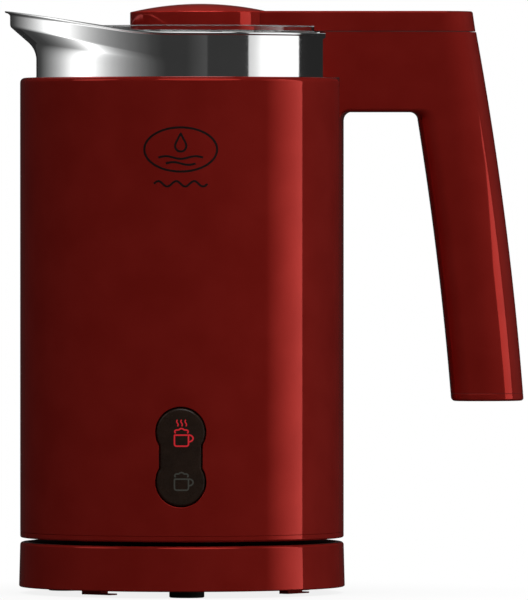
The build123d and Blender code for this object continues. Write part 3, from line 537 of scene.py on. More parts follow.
def flare_profile():
    """The spout's tip profile from the tube to the band, as (reach, height)."""
    arc_end = (POT_R + FLARE_R * (1 - math.cos(FLARE_TURN)), FLARE[1] + FLARE_R * math.sin(FLARE_TURN))
    crease_z = CREASE[1]
    corners = rounded([(*arc_end, 0.0), (BAND_REACH, crease_z, CREASE_R), (BAND_REACH, crease_z + 3.0, 0.0)])
    profile = []
    for k in range(13):
        a = FLARE_TURN * k / 12
        profile.append((POT_R + FLARE_R * (1 - math.cos(a)), FLARE[1] + FLARE_R * math.sin(a)))
    start, end = Vector(arc_end), Vector(corners[1])
    straight = [start + (end - start) * k / 5 for k in range(1, 5)]
    return profile + [(p.x, p.y) for p in straight] + corners[1:-1]


def tilted(tip_z):
    """The height function of a plane through tip_z at the spout's tip, between flare and crease."""
    share = (tip_z - FLARE[1]) / (CREASE[1] - FLARE[1])
    axis_z = between((FLARE[0], CREASE[0]), share)
    return lambda x, c: between((axis_z, tip_z), c)


def pot_wall_rows(inset):
    """The rows of one side of the wall, from the floor's edge up into the band, inset from the outside."""
    low = POT_LOW.z + (POT_FLOOR_T if inset else 0.0)
    side, corner = POT_R - inset, POT_CORNER_R - inset
    rows = []
    for up, inwards in quarter(8):
        r, z = side - corner * inwards, low + corner * up
        rows.append(pot_row(r, r, lambda x, c, z=z: z))
    for z in (low + corner + 1.0, low + 40.0, FLARE[0] - 12.0):
        rows.append(pot_row(side, side, lambda x, c, z=z: z))
    for reach, tip_z in flare_profile():
        rows.append(pot_row(reach - inset, side, tilted(tip_z)))
    return rows


def lip_rows():
    """The rows of the hollow under the lip, which turns outwards, and of the lip's rounded edge."""
    out_reach, out_side = LIP_REACH - BAND_REACH - LIP_EDGE_R, LIP_SIDE - POT_R - LIP_EDGE_R
    rows = []
    for out, down in quarter(6):

        def height(x, c, down=down):
            return rim_height(x) - 2 * between(LIP_HALF_T, c) - between(LIP_COVE_H, c) * down

        rows.append(pot_row(BAND_REACH + out_reach * out, POT_R + out_side * out, height))
    for degrees in range(-75, 91, 15):
        a = math.radians(degrees)
        back, down = LIP_EDGE_R * (1 - math.cos(a)), 1 - math.sin(a)
        rows.append(pot_row(LIP_REACH - back, LIP_SIDE - back,
                            lambda x, c, down=down: rim_height(x) - between(LIP_HALF_T, c) * down))
    return rows


def steel_pot():
    """The pressed pot: tube, flared spout, upright band and turned-out lip, outside and inside."""
    rows = [pot_row(0.0, 0.0, lambda x, c: POT_LOW.z)]
    rows += pot_wall_rows(0.0)
    rows += lip_rows()
    for inset, drop in ((0.45, 0.0), (0.7, 0.08), (0.8, 0.3)):      # over the lip's inner edge
        rows.append(pot_row(BAND_REACH - inset, POT_R - inset, lambda x, c, drop=drop: rim_height(x) - drop))
    rows += reversed(pot_wall_rows(POT_WALL))
    rows.append(pot_row(0.0, 0.0, lambda x, c: POT_LOW.z + POT_FLOOR_T))
    bm = bmesh.new()
    grid_faces(bm, rows)
    return finish_mesh("steel_jug_pot", bm, body="jug", slot="polished_steel", replaces=["steel_pot"])


# ---------------- handle

SHELL_LOW, SHELL_HIGH = node_box("handle_shell")
CAP_LOW = node_box("handle_end_cap")[0]
HANDLE_HALF_W = SHELL_HIGH.y
HANDLE_UNDER_Z = 163.4
HANDLE_OUTER = ((100.0, 190.7), (110.6, 121.6), (116.2, 65.3))
HANDLE_INNER = ((79.75, 163.4), (85.8, 121.6), (91.65, 65.3))
GRIP_END = (14.6, 12.5)       # the depth of the round outer end, low down and at the top
GRIP_END_Z = (150.0, 190.0)
GRIP_INNER_R = 6.4            # rounding of the grip's inner edges
NECK_EDGE_R = 1.3             # rounding of the neck's lower edges
CORNER_R = 2.7                # both inner corners of the finger gap, in side view
CORNER_BLEND = (3.9, 5.6)     # how far the grip's rounding reaches past the corner, along and down
JUG_GAP = 0.05
MOUTH_R = 50.5                # the handle's side of the gap round the pot's lip
MOUTH_LOW_R = 49.65           # and round its tube
MOUTH_STEP_Z = 187.9
MOUTH_STEP_H = 0.6
TONGUE_SLOT = ((60.5, -3.7, 183.0), (71.5, 3.7, 195.0))
TONGUE_GAP = 0.5
TONGUE_HIGH_Z = 194.0
CAP_HIGH_Z = SHELL_LOW.z
CAP_EDGE_R = 1.0


def circle_through(first, second, third):
    """The centre and radius of the circle through three points."""
    a, b, c = Vector(first), Vector(second), Vector(third)
    turn = 2 * (a.x * (b.y - c.y) + b.x * (c.y - a.y) + c.x * (a.y - b.y))
    aa, bb, cc = a.length_squared, b.length_squared, c.length_squared
    x = (aa * (b.y - c.y) + bb * (c.y - a.y) + cc * (a.y - b.y)) / turn
    y = (aa * (c.x - b.x) + bb * (a.x - c.x) + cc * (b.x - a.x)) / turn
    return Vector((x, y)), (a - Vector((x, y))).length


def side_x(arc, z):
    """Where a long arc of the handle, given by three points in side view, is at height z."""
    centre, radius = circle_through(*arc)
    return centre.x + radius * math.sqrt(1 - ((z - centre.y) / radius) ** 2)


def grip_end_depth(z):
    """The depth of the grip's round outer end at height z."""
    share = (z - GRIP_END_Z[0]) / (GRIP_END_Z[1] - GRIP_END_Z[0])
    return between(GRIP_END, min(1.0, max(0.0, share)))


def outer_end(z, inset=0.0, steps=48):
    """The grip's outer end in plan, half an ellipse from the front side round to the back."""
    depth = grip_end_depth(z)
    centre_x = side_x(HANDLE_OUTER, z) - depth
    row = []
    for k in range(steps + 1):
        a = math.pi * k / steps
        row.append((centre_x + (depth - inset) * math.sin(a), -(HANDLE_HALF_W - inset) * math.cos(a), z))
    return row


def inner_edge(contour, side, half_w, steps=8, across=12):
    """One row over the handle's inner face, from back to front. Each end is a quarter of an ellipse from
    side, on the flat side, to contour, on the inner face and half_w out."""
    edge = [(between((contour[0], side[0]), back), between((contour[1], side[1]), back),
             between((HANDLE_HALF_W, half_w), inwards)) for inwards, back in quarter(steps)]
    flat = [(contour[0], contour[1], half_w * (1 - 2 * k / across)) for k in range(1, across)]
    return [(x, y, z) for x, z, y in edge + flat] + [(x, -y, z) for x, z, y in reversed(edge)]


def inner_rows():
    """The rows over the handle's inner side: up the grip, round the corner and along under the neck."""
    jug_x = SKIN_HIGH.x + JUG_GAP
    rows = []
    corner_z = HANDLE_UNDER_Z - CORNER_R
    corner_x = side_x(HANDLE_INNER, corner_z)
    blend_z = HANDLE_UNDER_Z + NECK_EDGE_R - CORNER_BLEND[1]
    for k in range(31):
        z = between((CAP_HIGH_Z, corner_z), k / 30)
        side_z = between((CAP_HIGH_Z, blend_z), k / 30)
        contour = (side_x(HANDLE_INNER, z), z)
        side = (side_x(HANDLE_INNER, side_z) + GRIP_INNER_R, side_z)
        rows.append(inner_edge(contour, side, HANDLE_HALF_W - GRIP_INNER_R))
    side_corner_x = side_x(HANDLE_INNER, blend_z) + GRIP_INNER_R - CORNER_BLEND[0]
    for back, down in quarter(14, first=1):
        contour = (corner_x - CORNER_R * back, HANDLE_UNDER_Z - CORNER_R * down)
        side = (side_corner_x + CORNER_BLEND[0] * (1 - back), blend_z + CORNER_BLEND[1] * (1 - down))
        edge = between((NECK_EDGE_R, GRIP_INNER_R), (1 - back) ** 2)
        rows.append(inner_edge(contour, side, HANDLE_HALF_W - edge))
    start_x, end_x = corner_x - CORNER_R, jug_x + CORNER_R
    for share in (k / 10 for k in range(1, 11)):
        contour = (between((start_x, end_x), share), HANDLE_UNDER_Z)
        side = (between((side_corner_x, end_x), share), HANDLE_UNDER_Z + NECK_EDGE_R)
        rows.append(to_jug(inner_edge(contour, side, HANDLE_HALF_W - NECK_EDGE_R), share))
    for down, out in quarter(8, first=1):
        edge = between((NECK_EDGE_R, 0.0), down) + 0.02
        contour = (jug_x + CORNER_R * out, HANDLE_UNDER_Z - CORNER_R * down)
        side = (contour[0], contour[1] + edge)
        rows.append(to_jug(inner_edge(contour, side, HANDLE_HALF_W - edge), 1.0))
    return rows


def to_jug(row, share):
    """A row moved towards the jug's axis by a share of the jug's sag behind each point."""
    r = SKIN_HIGH.x + JUG_GAP
    return [(x - share * (r - math.sqrt(r * r - y * y)), y, z) for x, y, z in row]


def handle_cover():
    """The handle's moulding: flat sides, a round outer end, and an inner side from grip to neck."""
    top_z = SHELL_HIGH.z
    jug_r, skin_top_z = SKIN_HIGH.x + JUG_GAP, SKIN_HIGH.z + JUG_GAP
    inner = inner_rows()
    for r, z in ((jug_r, HANDLE_UNDER_Z), (jug_r, skin_top_z), (MOUTH_LOW_R, skin_top_z),
                 (MOUTH_LOW_R, MOUTH_STEP_Z), (MOUTH_R, MOUTH_STEP_Z + MOUTH_STEP_H), (MOUTH_R, top_z)):
        inner.append([(math.sqrt(r * r - p[1] * p[1]), p[1], z) for p in inner[-1]])
    outer = [outer_end(between((CAP_HIGH_Z, top_z), k / 44)) for k in range(45)]
    bm = bmesh.new()
    inner_points = grid_faces(bm, inner, wrap=False)
    outer_points = grid_faces(bm, outer, wrap=False)
    for end in (0, -1):
        bm.faces.new(inner_points[end] + outer_points[end])
        flat_side = [row[end] for row in inner_points] + [row[-1 - end] for row in reversed(outer_points)]
        bm.faces.new(flat_side)
    return finish_mesh("handle_cover", bm, cutters=[box_cutter(*TONGUE_SLOT)], bevel=0.12, body="jug",
                       slot="red_lacquer", replaces=["handle_shell"])


def grip_end_cap():
    """The cap at the grip's foot, with a rounded lower edge."""
    levels = [(CAP_EDGE_R * inwards, CAP_LOW.z + CAP_EDGE_R * up) for inwards, up in reversed(quarter(6))]
    levels.append((0.0, CAP_HIGH_Z - JUG_GAP))
    rows = []
    for inset, z in levels:
        x = side_x(HANDLE_INNER, z)
        inner = inner_edge((x + inset, z), (x + GRIP_INNER_R, z), HANDLE_HALF_W - GRIP_INNER_R)
        keep = (HANDLE_HALF_W - inset) / HANDLE_HALF_W
        rows.append([(px, y * keep, pz) for px, y, pz in inner] + outer_end(z, inset))
    bm = bmesh.new()
    close_ends(bm, grid_faces(bm, rows))
    return finish_mesh("grip_end_cap", bm, bevel=0.15, body="jug", slot="red_lacquer",
                       replaces=["handle_end_cap"])


# ---------------- lid

ARM_LOW, ARM_HIGH = node_box("lid_arm")
KNOB_LOW, KNOB_HIGH = node_box("lid_knob")
PLATE_LOW, PLATE_HIGH = node_box("lid_plate")
KNOB_X = (KNOB_LOW.x + KNOB_HIGH.x) / 2
KNOB_R = (KNOB_HIGH.x - KNOB_LOW.x) / 2
KNOB_EDGE_Z = 197.3
KNOB_WALL = 2.2
KNOB_TOP_T = 1.6
KNOB_FOOT_EDGE = 0.15
ARM_UNDER_Z = 190.76
ARM_TIP_TOP_X = 98.8
ARM_END = 12.5
ARM_EDGE_R = 0.6
ARM_UNDER_EDGE = 0.12
ARM_GAP = 0.15                # to the knob and to the lid's rim
LUG_HALF_W = 7.0              # a lug under the arm fills the corner between the lid's rim and the handle
LUG_END_X = 49.6
LUG_LOW_Z = 190.12
LID_SKIRT_R = 45.6
LID_SKIRT_T = 1.6
LID_RIM_T = 1.5
LID_TOP_Z = 190.7
LID_T = 1.8
GROOVE_DEPTH = 3.0            # below the lid's top, of the cut in the arm over the rim


def lid_knob():
    """The knob: a shallow dome over an upright side, hollow below."""
    rise = KNOB_HIGH.z - KNOB_EDGE_Z
    dome_r = (KNOB_R ** 2 + rise ** 2) / (2 * rise)
    reach = KNOB_R - 0.4
    outline = []
    for k in range(25):
        r = reach * k / 24
        outline.append((r, KNOB_HIGH.z - dome_r + math.sqrt(dome_r ** 2 - r * r)))
    edge = rounded([(*outline[-1], 0.0), (KNOB_R, KNOB_EDGE_Z, 0.35), (KNOB_R, KNOB_EDGE_Z - 1.0, 0.0)])
    inside, ceiling_z = KNOB_R - KNOB_WALL, KNOB_EDGE_Z - KNOB_TOP_T
    outline += edge[1:]
    outline += [(KNOB_R, LID_TOP_Z + KNOB_FOOT_EDGE), (KNOB_R - KNOB_FOOT_EDGE, LID_TOP_Z)]
    outline += [(inside, LID_TOP_Z), (inside, ceiling_z), (0.0, ceiling_z)]
    bm = bmesh.new()
    grid_faces(bm, turned(outline, x=KNOB_X))
    return finish_mesh("lid_dome_knob", bm, body="lid", slot="red_lacquer", replaces=["lid_knob"])


def arm_row(z, inset):
    """The arm in plan at height z: along the front, round its end, back, and across at the knob."""
    share = (z - ARM_UNDER_Z) / (ARM_HIGH.z - ARM_UNDER_Z)
    end_x = between((ARM_HIGH.x, ARM_TIP_TOP_X), share)
    half = HANDLE_HALF_W - inset
    near_knob = KNOB_R + ARM_GAP
    row = []
    for k in range(49):
        a = math.pi * k / 48
        row.append((end_x - ARM_END + (ARM_END - inset) * math.sin(a), -half * math.cos(a), z))
    for k in range(25):
        y = half * (1 - k / 12)
        row.append((KNOB_X + math.sqrt(near_knob ** 2 - y * y), y, z))
    return row


def lid_arm():
    """The arm from the knob over the handle, cut out over the lid's rim, with a tongue and a lug below it."""
    levels = [(ARM_UNDER_EDGE, ARM_UNDER_Z), (0.0, ARM_UNDER_Z + ARM_UNDER_EDGE)]
    levels += [(ARM_EDGE_R * inwards, ARM_HIGH.z - ARM_EDGE_R * down) for inwards, down in quarter(6)]
    bm = bmesh.new()
    close_ends(bm, grid_faces(bm, [arm_row(z, inset) for inset, z in levels]))
    groove = tube_cutter(PLATE_HIGH.x - LID_RIM_T - ARM_GAP, PLATE_HIGH.x + ARM_GAP,
                         LID_TOP_Z - GROOVE_DEPTH, PLATE_HIGH.z + 0.1)
    low, high = TONGUE_SLOT
    tongue = box_cutter((low[0] + TONGUE_GAP, low[1] + TONGUE_GAP, ARM_LOW.z),
                        (high[0] - TONGUE_GAP, high[1] - TONGUE_GAP, TONGUE_HIGH_Z))
    lug = box_cutter((PLATE_HIGH.x + 0.2, -LUG_HALF_W, LUG_LOW_Z), (LUG_END_X, LUG_HALF_W, ARM_UNDER_Z + 0.5))
    return finish_mesh("lid_arm_cover", bm, cutters=[groove], added=[tongue, lug], bevel=0.12, body="lid",
                       slot="red_lacquer", replaces=["lid_arm"])


def lid_dish():
    """The clear lid, turned: a flat dish with a standing rim, and a skirt down into the pot's mouth."""
    rim_r = PLATE_HIGH.x
    under = LID_TOP_Z - LID_T
    skirt_in = LID_SKIRT_R - LID_SKIRT_T
    return turned_piece("lid_dish", [
        (0.0, under, 0.0),
        (skirt_in, under, 0.8),
        (skirt_in, PLATE_LOW.z, 0.3),
        (LID_SKIRT_R, PLATE_LOW.z, 0.3),
        (LID_SKIRT_R, LID_TOP_Z - 0.4, 0.1),
        (rim_r, LID_TOP_Z - 0.2, 0.05),
        (rim_r, PLATE_HIGH.z, 0.5),
        (rim_r - LID_RIM_T, PLATE_HIGH.z, 0.5),
        (rim_r - LID_RIM_T, LID_TOP_Z, 0.1),
        (0.0, LID_TOP_Z, 0.0),
    ], closed=False, body="lid", slot="clear_plastic", replaces=["lid_plate"])


# ---------------- whisk

COIL_LOW, COIL_HIGH = node_box("whisk_coil")
COIL_WIRE_R = 0.4
COIL_TURNS = 64
COIL_STEPS = 14               # points along the wire in each turn
COIL_SIDES = 8


def whisk_spring():
    """The frothing coil: one closed spring of round wire, bent into a ring."""
    coil_r = (COIL_HIGH.z - COIL_LOW.z) / 2
    ring_r = COIL_HIGH.x - coil_r
    middle_z = (COIL_HIGH.z + COIL_LOW.z) / 2
    winding_r = coil_r - COIL_WIRE_R
    stations = COIL_TURNS * COIL_STEPS
    centres = []
    for k in range(stations):
        round_ring = 2 * math.pi * k / stations
        round_wire = COIL_TURNS * round_ring
        r = ring_r + winding_r * math.cos(round_wire)
        centres.append(Vector((r * math.cos(round_ring), r * math.sin(round_ring),
                               middle_z + winding_r * math.sin(round_wire))))
    rows = []
    for k, centre in enumerate(centres):
        along = (centres[(k + 1) % stations] - centres[k - 1]).normalized()
        ring_angle = 2 * math.pi * k / stations
        inward = Vector((ring_r * math.cos(ring_angle), ring_r * math.sin(ring_angle), middle_z)) - centre
        first = (inward - along * inward.dot(along)).normalized()
        second = along.cross(first)
        rows.append([centre + (first * math.cos(a) + second * math.sin(a)) * COIL_WIRE_R
                     for a in (2 * math.pi * j / COIL_SIDES for j in range(COIL_SIDES))])
    bm = bmesh.new()
    grid_faces(bm, rows, loop=True)
    return finish_mesh("whisk_spring", bm, body="whisk", slot="polished_steel",
                       material=LOOKS["plated_steel"], replaces=["whisk_coil"])


# ---------------- prints and symbols

PROUD = 0.02                  # how far prints and symbols stand out of their surface
SYMBOL_LINE = {"width": 0.5, "radius": PROUD - ROCKER_LOW.y, "thickness": 0.06}
STEAM_LINE = {**SYMBOL_LINE, "width": 0.4}
PRINT_LINE = {"width": 0.7, "radius": PROUD + SKIN_HIGH.x, "thickness": 0.05}
LONGEST_BIT = 0.4             # of a line, so that it follows the curve below it
CUP_HALF_W = 2.35
CUP_HALF_H = 1.85
CUP_X = 0.25
CUP_CORNER_R = 0.7
CUP_EAR = ((1.55, 1.15), -1.1)        # the handle's reach out and down, and its middle from the cup's top
SIDE_FOAM = ((0.75, 0.6), 1.5, 1.15)  # the size of a bump of foam, and how far out and up its middle is
TOP_FOAM = ((0.9, 0.75), 0.0, 1.45)
STEAM_X = (-1.1, 0.3, 1.7)
STEAM_UP = (2.95, 2.2)        # from the cup's top to the steam, and the steam's height
STEAM_SWING = 0.25
HOT_CUP_Z = 52.95
COLD_CUP_Z = 38.2
PRINT_Z = 150.5
OVAL_HALF = (12.2, 7.4)       # the oval's half width and half height
DROP_R = 1.9
DROP_UP = (1.2, 4.2)          # from the oval's middle to the drop's, and from there to its point
WAVE_LENGTH = 10.0
INNER_WAVES = ((-2.7, 7.5), (-4.7, 5.0))      # the height and half width of each wave in the oval
INNER_SWING = 0.45
UNDER_WAVE = (-11.5, 9.0)     # and of the one below it
UNDER_LENGTH = 6.0
UNDER_SWING = 0.9


def arc_points(centre, radii, start, end, steps):
    """Points of an ellipse's arc between two angles in degrees."""
    angles = [math.radians(start + (end - start) * k / steps) for k in range(steps + 1)]
    return [(centre[0] + radii[0] * math.cos(a), centre[1] + radii[1] * math.sin(a)) for a in angles]


def subdivided(points, closed):
    """The points of a line with more between them, so that no bit is longer than LONGEST_BIT."""
    path = [Vector(p) for p in points]
    ends = path[1:] + path[:1] if closed else path[1:]
    dense = []
    for start, end in zip(path, ends):
        bits = max(1, math.ceil((end - start).length / LONGEST_BIT))
        dense += [start.lerp(end, k / bits) for k in range(bits)]
    return dense if closed else dense + [path[-1]]


def add_line(bm, points, width, radius, thickness, closed=False):
    """A raised line of the given width through points in (x, z), laid on an upright cylinder's front side."""
    path = subdivided(points, closed)
    count = len(path)
    rows = []
    for k, here in enumerate(path):
        before = path[k - 1] if k or closed else here
        after = path[(k + 1) % count] if k < count - 1 or closed else here
        along = (after - before).normalized()
        across = Vector((-along.y, along.x)) * (width / 2)
        left, right = here + across, here - across
        rows.append([on_front(left.x, left.y, radius - thickness), on_front(left.x, left.y, radius),
                     on_front(right.x, right.y, radius), on_front(right.x, right.y, radius - thickness)])
    made = grid_faces(bm, rows, loop=closed)
    if not closed:
        close_ends(bm, made)


def add_cup(bm, middle_z, steam):
    """A cup with its handle and a cap of foam, with three wavy lines of steam over it if asked for."""
    left, right = CUP_X - CUP_HALF_W, CUP_X + CUP_HALF_W
    top, bottom = middle_z + CUP_HALF_H, middle_z - CUP_HALF_H
    r = CUP_CORNER_R
    outline = [(left, top)]
    outline += arc_points((left + r, bottom + r), (r, r), 180, 270, 5)
    outline += arc_points((right - r, bottom + r), (r, r), 270, 360, 5)
    outline += [(right, top)]
    add_line(bm, outline, closed=True, **SYMBOL_LINE)
    ear_size, ear_up = CUP_EAR
    add_line(bm, arc_points((right, top + ear_up), ear_size, 90, -90, 10), **SYMBOL_LINE)
    foam = []
    for side, (size, out, up), start, end in ((-1, SIDE_FOAM, 235, 75), (0, TOP_FOAM, 150, 30),
                                              (1, SIDE_FOAM, 105, -55)):
        foam += arc_points((CUP_X + side * out, top + up), size, start, end, 8)
    add_line(bm, foam, **SYMBOL_LINE)
    for x in STEAM_X if steam else ():
        wave = [(x + STEAM_SWING * math.sin(2 * math.pi * k / 12), top + STEAM_UP[0] + STEAM_UP[1] * k / 12)
                for k in range(13)]
        add_line(bm, wave, **STEAM_LINE)


def rocker_symbols():
    """The two symbols on the rocker: a steaming cup above, which is lit, and a plain cup below, whose grey
    ink has a faint painted glow.
    """
    for name, z, steam, ink in (("hot_froth_symbol", HOT_CUP_Z, True, LIT_RED),
                                ("cold_froth_symbol", COLD_CUP_Z, False, GREY_PRINT_WITH_PAINTED_GLOW)):
        bm = bmesh.new()
        add_cup(bm, z, steam)
        finish_mesh(name, bm, body="rocker", slot="grey_plastic", material=ink)


def wave_points(z, half_w, length, swing, steps):
    """A wavy line across the middle at height z, which starts upwards from its left end."""
    run = [2 * half_w * k / steps for k in range(steps + 1)]
    return [(r - half_w, z + swing * math.sin(2 * math.pi * r / length)) for r in run]


def jug_emblem():
    """A plain printed oval with a drop of milk over two waves, and a short wavy line below it."""
    bm = bmesh.new()
    add_line(bm, arc_points((0.0, PRINT_Z), OVAL_HALF, 0, 355, 71), closed=True, **PRINT_LINE)
    drop_z = PRINT_Z + DROP_UP[0]
    drop = arc_points((0.0, drop_z), (DROP_R, DROP_R), 150, 390, 18)
    drop += [(0.0, drop_z + DROP_UP[1])]
    add_line(bm, drop, closed=True, **PRINT_LINE)
    for up, half_w in INNER_WAVES:
        add_line(bm, wave_points(PRINT_Z + up, half_w, WAVE_LENGTH, INNER_SWING, 40), **PRINT_LINE)
    up, half_w = UNDER_WAVE
    add_line(bm, wave_points(PRINT_Z + up, half_w, UNDER_LENGTH, UNDER_SWING, 60), **PRINT_LINE)
    return finish_mesh("jug_print", bm, body="jug", slot="black_plastic", material=DARK_PRINT)


base_shell()
jug_skin()
rocker_cap()
steel_pot()
handle_cover()
grip_end_cap()
lid_knob()
lid_arm()
lid_dish()
whisk_spring()
rocker_symbols()
jug_emblem()


# ---------------- light, floor and camera

# Angles are in degrees round the jug, from the front towards the handle's side.
RED_STRIP = (62.0, 96.0)
KNOB_STRIP = (68.0, 90.5)
GRIP_STRIP = (65.0, 90.0)
GRIP_SHEEN = (20.0, 145.0)
RIGHT_FILL = (97.0, 135.0)
STEEL_STRIP = (54.0, 107.0)
STEEL_STRIP_FULL = 66.0
STEEL_FAINT = (4.0, 20.0)
STEEL_GLOW = (-161.0, -12.0)
STEEL_GLOW_MIDDLE = -83.0
PANEL_AWAY = 1.1              # metres from the place that mirrors it
BODY_EDGE = (0.039, -0.039)   # where each strip is mirrored
KNOB_EDGE = (0.023, -0.017)
GRIP_EDGE = (0.103, -0.009)
STEEL_EDGE = (0.034, -0.037)
PANEL_SPAN_Z = (-0.4, 1.2)
GLOW_SPAN_Z = (-3.0, 1.2)
PANEL_STOPS = 24              # brightness steps along a panel
GRIP_TAPER = (0.215, 0.33)    # the grip's strip narrows between these heights
GRIP_SIDE = 0.045             # pieces wholly beyond this, in metres along X, belong to the handle
STEEL_BRIGHTNESS = (0.87, 1.47)       # at the strip's front edge and behind it
GLOW_PEAK = 2.6
GLOW_FALL = (24.5, 23.0)      # degrees in which it falls to 1/e, to the back and to the front
GLOW_LOSS = 0.13
GLOW_FLOOR = 0.03             # at the back
OVERHEAD_AIM = (0.0, 0.0, 0.2)
JUG_AIM = (0.0, 0.0, 0.1)


def light_only(light, pieces):
    """Lets the light fall on these pieces alone."""
    lit = bpy.data.collections.new(light.name)
    for piece in pieces:
        lit.objects.link(piece)
    light.light_linking.receiver_collection = lit


def flat_panel(name, span, strength, pieces, centre=(0.0, 0.0), span_z=PANEL_SPAN_Z, taper=None):
    """An upright light panel square to centre, as wide as span, for some pieces. Its radiance is
    strength(angle), or goes evenly through the values of strength. Between the two heights of taper, in
    metres, its front edge leans back until it meets its back edge."""
    height = span_z[1] - span_z[0]
    middle, half = math.radians(sum(span) / 2), math.radians(span[1] - span[0]) / 2
    width = 2 * PANEL_AWAY * math.tan(half)
    data = bpy.data.lights.new(name, "AREA")
    data.shape = "RECTANGLE"
    data.size = width
    data.size_y = height
    data.energy = math.pi * width * height      # a radiance of one
    data.use_nodes = True
    tree = data.node_tree
    emission = tree.nodes["Emission"]
    across = add_node(tree, "NewGeometry", {})
    split = add_node(tree, "SeparateXYZ", {"Vector": across.outputs["Parametric"]})
    ramp = add_node(tree, "ValToRGB", {"Fac": split.outputs["X"]})
    colour = ramp.outputs["Color"]
    if taper:
        low, high = [(z - span_z[0]) / height for z in taper]
        lean = add_node(tree, "MapRange", {"Value": split.outputs["Y"], "From Min": low, "From Max": high})
        lit = add_node(tree, "Math", {0: split.outputs["X"], 1: lean.outputs["Result"]}, "GREATER_THAN")
        dimmed = add_node(tree, "VectorMath", {0: colour, "Scale": lit.outputs["Value"]}, "SCALE")
        colour = dimmed.outputs["Vector"]
    tree.links.new(colour, emission.inputs["Color"])
    angles = [half * (2 * k / PANEL_STOPS - 1) for k in range(PANEL_STOPS + 1)]
    shares = [0.5 + PANEL_AWAY * math.tan(a) / width for a in angles]
    values = [strength_at(strength, k / PANEL_STOPS, math.degrees(middle + a)) for k, a in enumerate(angles)]
    brightest = max(values)
    emission.inputs["Strength"].default_value = brightest
    stops = ramp.color_ramp.elements
    for share, value in zip(shares[1:-1], values[1:-1]):
        stops.new(share).color = (*[value / brightest] * 3, 1.0)
    for stop, value in ((stops[0], values[0]), (stops[-1], values[-1])):
        stop.color = (*[value / brightest] * 3, 1.0)
    panel = add_object(name, data)
    outward = Vector((math.sin(middle), -math.cos(middle), 0.0))
    panel.location = Vector((*centre, sum(span_z) / 2)) + outward * PANEL_AWAY
    panel.rotation_euler = outward.to_track_quat("Z", "Y").to_euler()
    panel.visible_camera = False
    light_only(panel, pieces)


def strength_at(strength, share, angle):
    """A panel's radiance at an angle, which is a share of the way along it."""
    if callable(strength):
        return strength(angle)
    place = share * (len(strength) - 1)
    first = min(int(place), len(strength) - 2)
    return between(strength[first:first + 2], place - first)


def area_light(name, place, aim, size, power):
    """A soft round light in metres and watts, pointed at aim."""
    data = bpy.data.lights.new(name, "AREA")
    data.shape = "DISK"
    data.size = size
    data.energy = power
    light = add_object(name, data)
    light.location = place
    light.rotation_euler = (Vector(aim) - Vector(place)).to_track_quat("-Z", "Y").to_euler()
    return light


def node_tree_of(block):
    """The emptied node tree of a material or a world."""
    block.use_nodes = True
    block.node_tree.nodes.clear()
    return block.node_tree


def camera_ray_switch(tree, kind, shown, hidden):
    """Gives the camera what is shown, and every other ray what is hidden in its place."""
    path = add_node(tree, "LightPath", {})
    mix = add_node(tree, "MixShader", {"Fac": path.outputs["Is Camera Ray"], 1: hidden, 2: shown})
    add_node(tree, kind, {"Surface": mix.outputs["Shader"]})


def studio_world(front, back):
    """A white surround for the camera, and a dim one, darker at the back, for light and reflections."""
    world = bpy.data.worlds.new("studio")
    tree = node_tree_of(world)
    white = add_node(tree, "Background", {"Color": (1.0, 1.0, 1.0, 1.0)})
    direction = add_node(tree, "TexCoord", {})
    split = add_node(tree, "SeparateXYZ", {"Vector": direction.outputs["Generated"]})
    span = {"From Min": -0.5, "From Max": 0.5, "To Min": front, "To Max": back}
    fade = add_node(tree, "MapRange", {"Value": split.outputs["Y"], **span})
    grey = add_node(tree, "Background", {"Color": fade.outputs["Result"]})
    camera_ray_switch(tree, "OutputWorld", white.outputs["Background"], grey.outputs["Background"])
    bpy.context.scene.world = world


def pale_floor(size, reach, shade):
    """A plain white floor, shaded only within reach of the object, that throws little light back at it."""
    bm = bmesh.new()
    grid_faces(bm, [[(x, y, 0.0) for x in (-size, size)] for y in (-size, size)], wrap=False)
    mesh = bpy.data.meshes.new("floor")
    bm.to_mesh(mesh)
    bm.free()
    material = bpy.data.materials.new("floor")
    tree = node_tree_of(material)
    near = add_node(tree, "AmbientOcclusion", {"Distance": reach})
    bright = add_node(tree, "MapRange", {"Value": near.outputs["AO"], "To Min": shade})
    pale = add_node(tree, "Emission", {"Strength": bright.outputs["Result"]})
    dull = add_node(tree, "BsdfDiffuse", {"Color": (0.2, 0.2, 0.2, 1.0)})
    camera_ray_switch(tree, "OutputMaterial", pale.outputs["Emission"], dull.outputs["BSDF"])
    mesh.materials.append(material)
    floor = add_object("floor", mesh)
    floor.visible_glossy = False
    floor.visible_shadow = False


def steel_strip_strength(angle):
    """The strip on the steel comes up over its front edge, and is even behind it."""
    share = (angle - STEEL_STRIP[0]) / (STEEL_STRIP_FULL - STEEL_STRIP[0])
    return between(STEEL_BRIGHTNESS, min(1.0, max(0.0, share)) ** 2)


def steel_glow_strength(angle):
    """The broad soft light on the spout's side falls off a little faster to the front than to the back."""
    away = angle - STEEL_GLOW_MIDDLE
    to_front = away > 0
    value = GLOW_PEAK * math.exp(-abs(away) / GLOW_FALL[to_front]) - GLOW_LOSS
    return max(0.0 if to_front else GLOW_FLOOR, value)


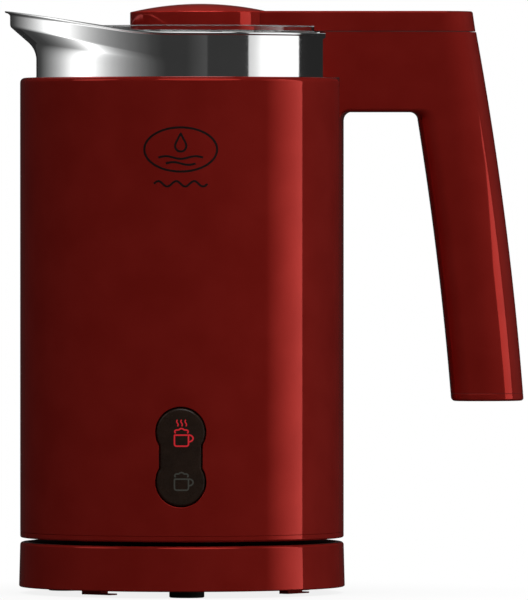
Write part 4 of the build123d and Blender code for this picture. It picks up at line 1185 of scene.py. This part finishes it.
shown = [o for o in bpy.context.scene.objects if o.type == "MESH" and "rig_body" in o]
steel = [o for o in shown if o.data.materials[0] is LOOKS["polished_steel"]]
lacquered = [o for o in shown if o not in steel]      # and everything else that isn't polished steel
for piece in shown:
    if piece.bound_box[0][0] > GRIP_SIDE or piece.name.startswith("lid_arm"):
        piece.visible_glossy = False      # the pot's steel mirrors the dark surround, not the handle
knob = [o for o in lacquered if o.name == "lid_dome_knob"]
grip = [o for o in lacquered if o.name in ("handle_cover", "grip_end_cap", "lid_arm_cover")]
dish = [o for o in lacquered if o.name == "lid_dish"]
rest = [o for o in lacquered if o not in knob + grip]
flat_panel("strip_for_body", RED_STRIP, (0.0, 2.1), rest, BODY_EDGE)
flat_panel("strip_for_knob", KNOB_STRIP, (1.75, 1.75), knob, KNOB_EDGE)
flat_panel("strip_for_grip", GRIP_STRIP, (1.75, 1.75), grip, GRIP_EDGE, taper=GRIP_TAPER)
flat_panel("sheen_for_grip", GRIP_SHEEN, (0.0, 0.22, 0.0), grip, GRIP_EDGE)
flat_panel("fill_for_lacquer", RIGHT_FILL, (0.09, 0.0), lacquered, BODY_EDGE)
flat_panel("strip_for_steel", STEEL_STRIP, steel_strip_strength, steel, STEEL_EDGE)
flat_panel("faint_for_steel", STEEL_FAINT, (0.0, 0.055), steel)
flat_panel("glow_for_steel", STEEL_GLOW, steel_glow_strength, steel, span_z=GLOW_SPAN_Z)
area_light("top_light", (0.45, -1.6, 1.9), JUG_AIM, size=2.26, power=21.0)
for name, place, aim, size, power, pieces in (
    ("left_light", (-1.9, -0.6, 1.5), JUG_AIM, 1.47, 6.0, lacquered),
    ("over_light", (0.0, 0.1, 2.2), OVERHEAD_AIM, 1.35, 32.0, knob),
    ("back_light", (0.0, 2.2, 1.6), OVERHEAD_AIM, 2.7, 10.0, steel),
    ("rim_light", (0.0, 2.2, 1.6), OVERHEAD_AIM, 2.7, 13.0, dish),
):
    light_only(area_light(name, place, aim, size, power), pieces)
studio_world(front=0.046, back=0.024)
pale_floor(size=9.0, reach=0.08, shade=0.85)

# A long lens, a little above the jug's middle, at the height and distance that the perspective asks for.
EYE = Vector((27.9, -3700.0, 138.3)) * MM
AIM = Vector((27.9, 0.0, 99.5)) * MM
VIEW_HEIGHT = 204.0 * MM      # what the picture's height covers at the jug's axis

camera_data = bpy.data.cameras.new("camera")
camera_data.sensor_width = 36.0
camera_data.lens = 36.0 * (AIM - EYE).length / VIEW_HEIGHT
camera_data.clip_end = 100.0
camera = add_object("camera", camera_data)
camera.location = EYE
camera.rotation_euler = (AIM - EYE).to_track_quat("-Z", "Y").to_euler()
bpy.context.scene.camera = camera
bpy.context.scene.view_settings.view_transform = "Standard"
